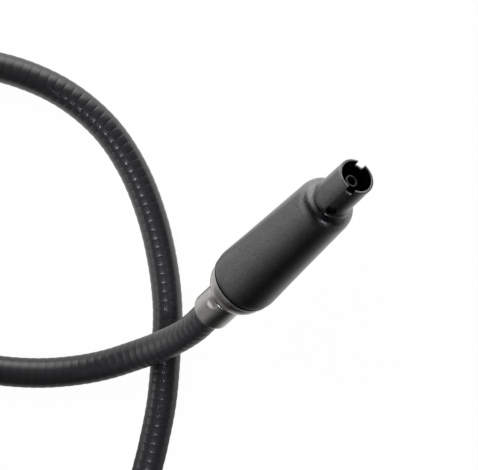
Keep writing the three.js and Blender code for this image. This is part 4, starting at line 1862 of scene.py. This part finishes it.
    def _rod(self) -> None:
        """The plunger's hollow rod."""
        radius, bore, rear, front = self.rod
        body = turned(
            "plunger_rod_body",
            [
                Corner(bore, rear),
                Corner(radius, rear, 0.15),
                Corner(radius, front, 0.1),
                Corner(0, front),
                Corner(0, self.rod_bore_end),
                Corner(bore, self.rod_bore_end),
            ],
            segments=96,
        )
        fit(body, "plunger_rod", Body.PLUNGER, BRIGHT_STEEL, self.axis)

    def _button(self) -> None:
        """The thumb button, dished and with three fine rings in its dish."""
        radius, thickness, hub_rear, rear = self.button
        depth, rim = self.dish
        cut, spread = self.ring_size
        top, dish, hub = rear + thickness, radius - rim, self.rod_way + self.hub_wall
        step = 0.06

        def height(r: float) -> float:
            """The station of the dish at a radius."""
            groove = sum(cut * math.exp(-(((r - ring) / spread) ** 2)) for ring in self.dish_rings)
            return top - depth * (1 - (r / dish) ** 2) - groove

        steps = np.arange(dish - step, 0.05, -step)
        body = turned(
            "thumb_button_body",
            [
                Corner(0, self.rod[3] + CLEARANCE),
                Corner(self.rod_way, self.rod[3] + CLEARANCE),
                Corner(self.rod_way, hub_rear),
                Corner(hub, hub_rear, 0.15),
                Corner(hub, rear, 0.15),
                Corner(radius, rear, 0.4),
                Corner(radius, top, 0.75),
                Corner(dish, top),
                *[Corner(r, height(r)) for r in steps],
                Corner(0, height(0)),
            ],
            segments=160,
        )
        fit(body, "thumb_button", Body.PLUNGER, SATIN_LACQUER, self.axis)

    def _lock(self) -> None:
        """The lock screw, with a threaded stem and a knurled, slotted head."""
        stem, rim, length, teeth = self.lock
        pitch, thread = self.lock_thread
        tip = self.rod_way + CLEARANCE / 2
        seat = self._radius_at(self.lock_station) + CLEARANCE
        top = seat + length
        turns = np.arange(tip + 0.3, seat - 0.6, pitch)
        threads = [c for s in turns for c in (Corner(stem - thread, s), Corner(stem, s + pitch / 2))]
        body = turned(
            "lock_screw_body",
            [
                Corner(0, tip),
                Corner(stem - 0.25, tip),
                *threads,
                Corner(stem - thread, turns[-1] + pitch),
                Corner(stem, seat - 0.15),
                Corner(stem, seat),
                Corner(rim, seat, 0.2),
                Corner(rim, top, 0.35),
                Corner(0, top),
            ],
            segments=teeth * 12,
            reach=self._teeth(rim, teeth),
        )
        carve(body, [slot_bar(*self.lock_slot, top, 4.0)], edge=0.04)
        fit(body, "lock_screw", Body.LOCK, BRIGHT_STEEL, self.axis.branch(self.lock_station, 0.0))

    def _spring(self) -> None:
        """The spring that lifts the button."""
        radius, wire, curls = self.spring
        start = self.spigot[1] + CLEARANCE
        end = self.nut_rear - self.nut[3] - CLEARANCE - self.collar - CLEARANCE
        body = skin("button_return_spring", coil(radius, wire, start, end, curls), closed=False)
        fit(body, "button_spring", Body.RELEASE_LINE, BRIGHT_STEEL, self.axis)
        press_short(body, self.axis, held=start, pushed=end)


def dress_nodes() -> None:
    """Gives the nodes that stay in the scene their finishes."""
    kept = {
        "swivel_clip": (BRIGHT_STEEL, HEAD_AXIS),
        "pin_wire_sleeve": (TURNED_BRASS, HEAD_AXIS),
        "plunger_collar": (TURNED_BRASS, HAND_AXIS),
    }
    for name, (finish, axis) in kept.items():
        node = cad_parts[name]
        node.data.materials.clear()
        node.data.materials.append(finish.material(axis))
        log.info("%s: keeps its shape, finished in %s", name, finish.slot.value)


# ---------------------------------------------------------------- studio


WHITE = (1.0, 1.0, 1.0, 1.0)
PAPER = (0.9, 0.9, 0.9, 1.0)
UNLIT = (0.0, 0.0, 0.0, 1.0)


def hang(data: bpy.types.Light, place: Point, way: Vector) -> bpy.types.Object:
    """Hangs a lamp, which the camera doesn't see.

    Args:
        data: The light.
        place: Where it hangs, in metres from the middle of the picture.
        way: The direction from what it lights to the lamp.

    Returns:
        The lamp.
    """
    lamp = bpy.data.objects.new(data.name, data)
    lamp.location = PICTURE_MIDDLE + Vector(place)
    lamp.rotation_mode = "QUATERNION"
    lamp.rotation_quaternion = way.to_track_quat("Z", "Y")
    lamp.visible_camera = False
    bpy.context.scene.collection.objects.link(lamp)
    return lamp


@dataclass(frozen=True)
class SpotLamp:
    """A small lamp with a narrow beam.

    Attributes:
        name: Its name.
        place: Where it is, in metres from the middle of the picture.
        target: Where its beam points, in metres from the middle of the picture.
        beam: The beam's radius there, in metres.
        power: Its power, in watts.
        colour: Its colour.
        bulb: The radius of its bulb, in metres.
        fade: How much of the beam's width its soft edge takes up.
    """

    name: str
    place: Point
    target: Point
    beam: float
    power: float
    colour: Colour = (0.9, 0.92, 1.0)
    bulb: float = 0.012
    fade: float = 0.3

    def build(self) -> None:
        """Adds the lamp, turned to its target."""
        way = Vector(self.place) - Vector(self.target)
        data = bpy.data.lights.new(self.name, "SPOT")
        data.shadow_soft_size = self.bulb
        data.spot_size = 2 * math.atan(self.beam / way.length)
        data.spot_blend = self.fade
        data.energy = self.power
        data.color = self.colour
        hang(data, self.place, way)
        log.info("%s: spot lamp that lights %.0f mm round its target", self.name, self.beam / MM)


@dataclass(frozen=True)
class Lamp:
    """A soft lamp, which shiny surfaces don't show.

    Attributes:
        name: Its name.
        place: Where it is, in metres from the middle of the picture.
        size: The lengths of its two sides, in metres.
        glow: Its brightness, where 1 is white paper in full light.
    """

    name: str
    place: Point
    size: tuple[float, float]
    glow: float

    def build(self) -> None:
        """Adds the lamp, turned to the middle of the picture."""
        width, height = self.size
        data = bpy.data.lights.new(self.name, "AREA")
        data.shape = "RECTANGLE"
        data.size, data.size_y = width, height
        data.energy = self.glow * math.pi * width * height
        lamp = hang(data, self.place, Vector(self.place))
        lamp.visible_glossy = False
        log.info("%s: lamp of %.2f by %.2f m", self.name, width, height)


@dataclass(frozen=True)
class Patch:
    """A soft-edged bright part of the room, or a pool of light painted on the table, as shiny surfaces
    show it.

    Attributes:
        azimuth: The side that it is on, in degrees from +X.
        elevation: How high it stands in the room, in degrees. A table's patch has none.
        fades: Where it starts and where it is in full, as the cosine of the angle to its middle in
            the room, or as a distance towards its side in metres on the table.
        glow: Its brightness, where 1 is white paper in full light.
    """

    azimuth: float
    elevation: float
    fades: tuple[float, float]
    glow: float

    def shine(self, point: Signal) -> Signal:
        """The patch's brightness.

        Args:
            point: A direction in the room, or a place on the table.

        Returns:
            The brightness there.
        """
        side, lift = math.radians(self.azimuth), math.radians(self.elevation)
        middle = (math.cos(side) * math.cos(lift), math.sin(side) * math.cos(lift), math.sin(lift))
        return self.glow * point.dot(middle).rise(*self.fades)


@dataclass
class Studio:
    """Camera, table, lamps and the room round them.

    Attributes:
        height: The camera's height over the table, in metres.
        lens: The camera's lens, in millimetres on a sensor 36 mm wide.
        table_reach: Half the table's side, in metres.
        table_drop: How far the table lies under the frame's zero, in metres.
        room_fill: The room's light on surfaces that don't shine.
        shadow_fade: How much of the table near the object is plain white, without its shadow.
        shadow_reach: How far from the picture's middle the shadow starts to go, and is gone.
        lamps: The lamps.
        room_patches: The bright parts of the room.
        painted_table_light: Pools of light painted on the table, which only shiny surfaces see.
    """

    height: float = 0.6
    lens: float = 245.35
    table_reach: float = 1.5
    table_drop: float = 0.00005
    room_fill: float = 0.25
    shadow_fade: float = 0.975
    shadow_reach: tuple[float, float] = (0.12, 0.4)
    lamps: Sequence[Lamp | SpotLamp] = (
        Lamp("large_overhead", (-0.2, 0.35, 0.75), (0.9, 0.9), 2.4),
        SpotLamp("head_spot", (0.12, -0.52, 0.58), (0.014, 0.0025, 0.053), 0.012, 3.2),
        SpotLamp("loop_spot", (-0.15, -0.3, 0.66), (-0.008, 0.008, 0.0), 0.026, 7.5),
        SpotLamp("lead_spot", (-0.1, -0.36, 0.64), (-0.008, -0.046, 0.0), 0.021, 7.5),
    )
    room_patches: Sequence[Patch] = (
        Patch(72.0, 12.0, (0.85, 1.0), 1.3),
        Patch(94.0, 15.0, (0.7, 1.0), 2.5),
        Patch(180.0, 0.0, (0.9, 0.99), 1.4),
        Patch(-160.0, 0.0, (0.8, 0.99), 0.75),
    )
    painted_table_light: Sequence[Patch] = (
        Patch(84.0, 0.0, (-0.066, -0.008), 0.85),
        Patch(84.0, 0.0, (0.028, 0.06), 0.9),
        Patch(40.0, 0.0, (-0.035, 0.025), 0.5),
        Patch(0.0, 0.0, (0.0, 0.1), 0.25),
        Patch(180.0, 0.0, (0.1, 0.35), 0.95),
    )

    def place_camera(self) -> None:
        """Adds the camera, straight above the middle of the picture."""
        data = bpy.data.cameras.new("photo_camera")
        data.lens = self.lens
        data.sensor_width = 36.0
        data.sensor_fit = "HORIZONTAL"
        data.clip_start, data.clip_end = 0.01, 20.0
        camera = bpy.data.objects.new("photo_camera", data)
        camera.location = PICTURE_MIDDLE + Vector((0.0, 0.0, self.height))
        bpy.context.scene.collection.objects.link(camera)
        bpy.context.scene.camera = camera

    def build(self) -> None:
        """Adds the table, the lamps and the room's light."""
        self._table()
        for lamp in self.lamps:
            lamp.build()
        self._room()
        bpy.context.scene.view_settings.view_transform = "Standard"

    def _table(self) -> None:
        """The white table, which keeps a faint shadow, and which shiny surfaces see as pools of painted
        light on black.
        """
        corners = np.array(((-1, -1, 0), (1, -1, 0), (1, 1, 0), (-1, 1, 0))) * self.table_reach
        table = mesh_piece("table_top", corners, [(0, 1, 2, 3)])
        table.location = PICTURE_MIDDLE - Vector((0.0, 0.0, self.table_drop))
        material = bpy.data.materials.new("white_table")
        material.use_nodes = True
        recipe = Recipe(material.node_tree)
        place = recipe.place()
        fade = place.length().rise(*self.shadow_reach)
        plain = self.shadow_fade + (1 - self.shadow_fade) * fade
        shine = sum(patch.shine(place) for patch in self.painted_table_light)
        brightest = sum(patch.glow for patch in self.painted_table_light)
        paper = recipe.node("ShaderNodeBsdfDiffuse", {}, {"Color": PAPER})
        unlit = recipe.node("ShaderNodeBsdfDiffuse", {}, {"Color": UNLIT})
        white = recipe.node("ShaderNodeEmission", {}, {"Color": WHITE, "Strength": 1.0})
        bright = recipe.node("ShaderNodeEmission", {}, {"Color": WHITE, "Strength": brightest})
        # painted reflection: glowing pools of light on a table painted black, seen only by shiny
        # surfaces
        painted_table_reflection = recipe.mix(shine / brightest, unlit, bright)
        indirect = recipe.mix(recipe.ray(Ray.GLOSSY), paper, painted_table_reflection)
        surface = recipe.mix(recipe.seen() * plain, indirect, white)
        recipe.node("ShaderNodeOutputMaterial", {}, {"Surface": surface})
        table.data.materials.append(material)

    def _room(self) -> None:
        """The room: white to the camera, and for the rest bright on one side and dark in front."""
        world = bpy.data.worlds.new("studio_room")
        bpy.context.scene.world = world
        world.use_nodes = True
        recipe = Recipe(world.node_tree)
        way = recipe.node("ShaderNodeTexCoord", output="Generated")
        shine = sum(patch.shine(way) for patch in self.room_patches)
        level = self.room_fill + recipe.ray(Ray.GLOSSY) * (shine - self.room_fill)
        strength = level + recipe.seen() * (1.0 - level)
        glow = recipe.node("ShaderNodeBackground", {}, {"Color": WHITE, "Strength": strength})
        recipe.node("ShaderNodeOutputWorld", {}, {"Surface": glow})


def main() -> None:
    """Builds the scene: camera and sheath first, then both ends and the studio."""
    logging.basicConfig(level=logging.INFO, format="%(name)s: %(message)s")
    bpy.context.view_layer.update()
    studio = Studio()
    studio.place_camera()
    Sheath().build()
    CameraEnd().build()
    HandPiece().build()
    dress_nodes()
    studio.build()


if __name__ == "__main__":
    main()
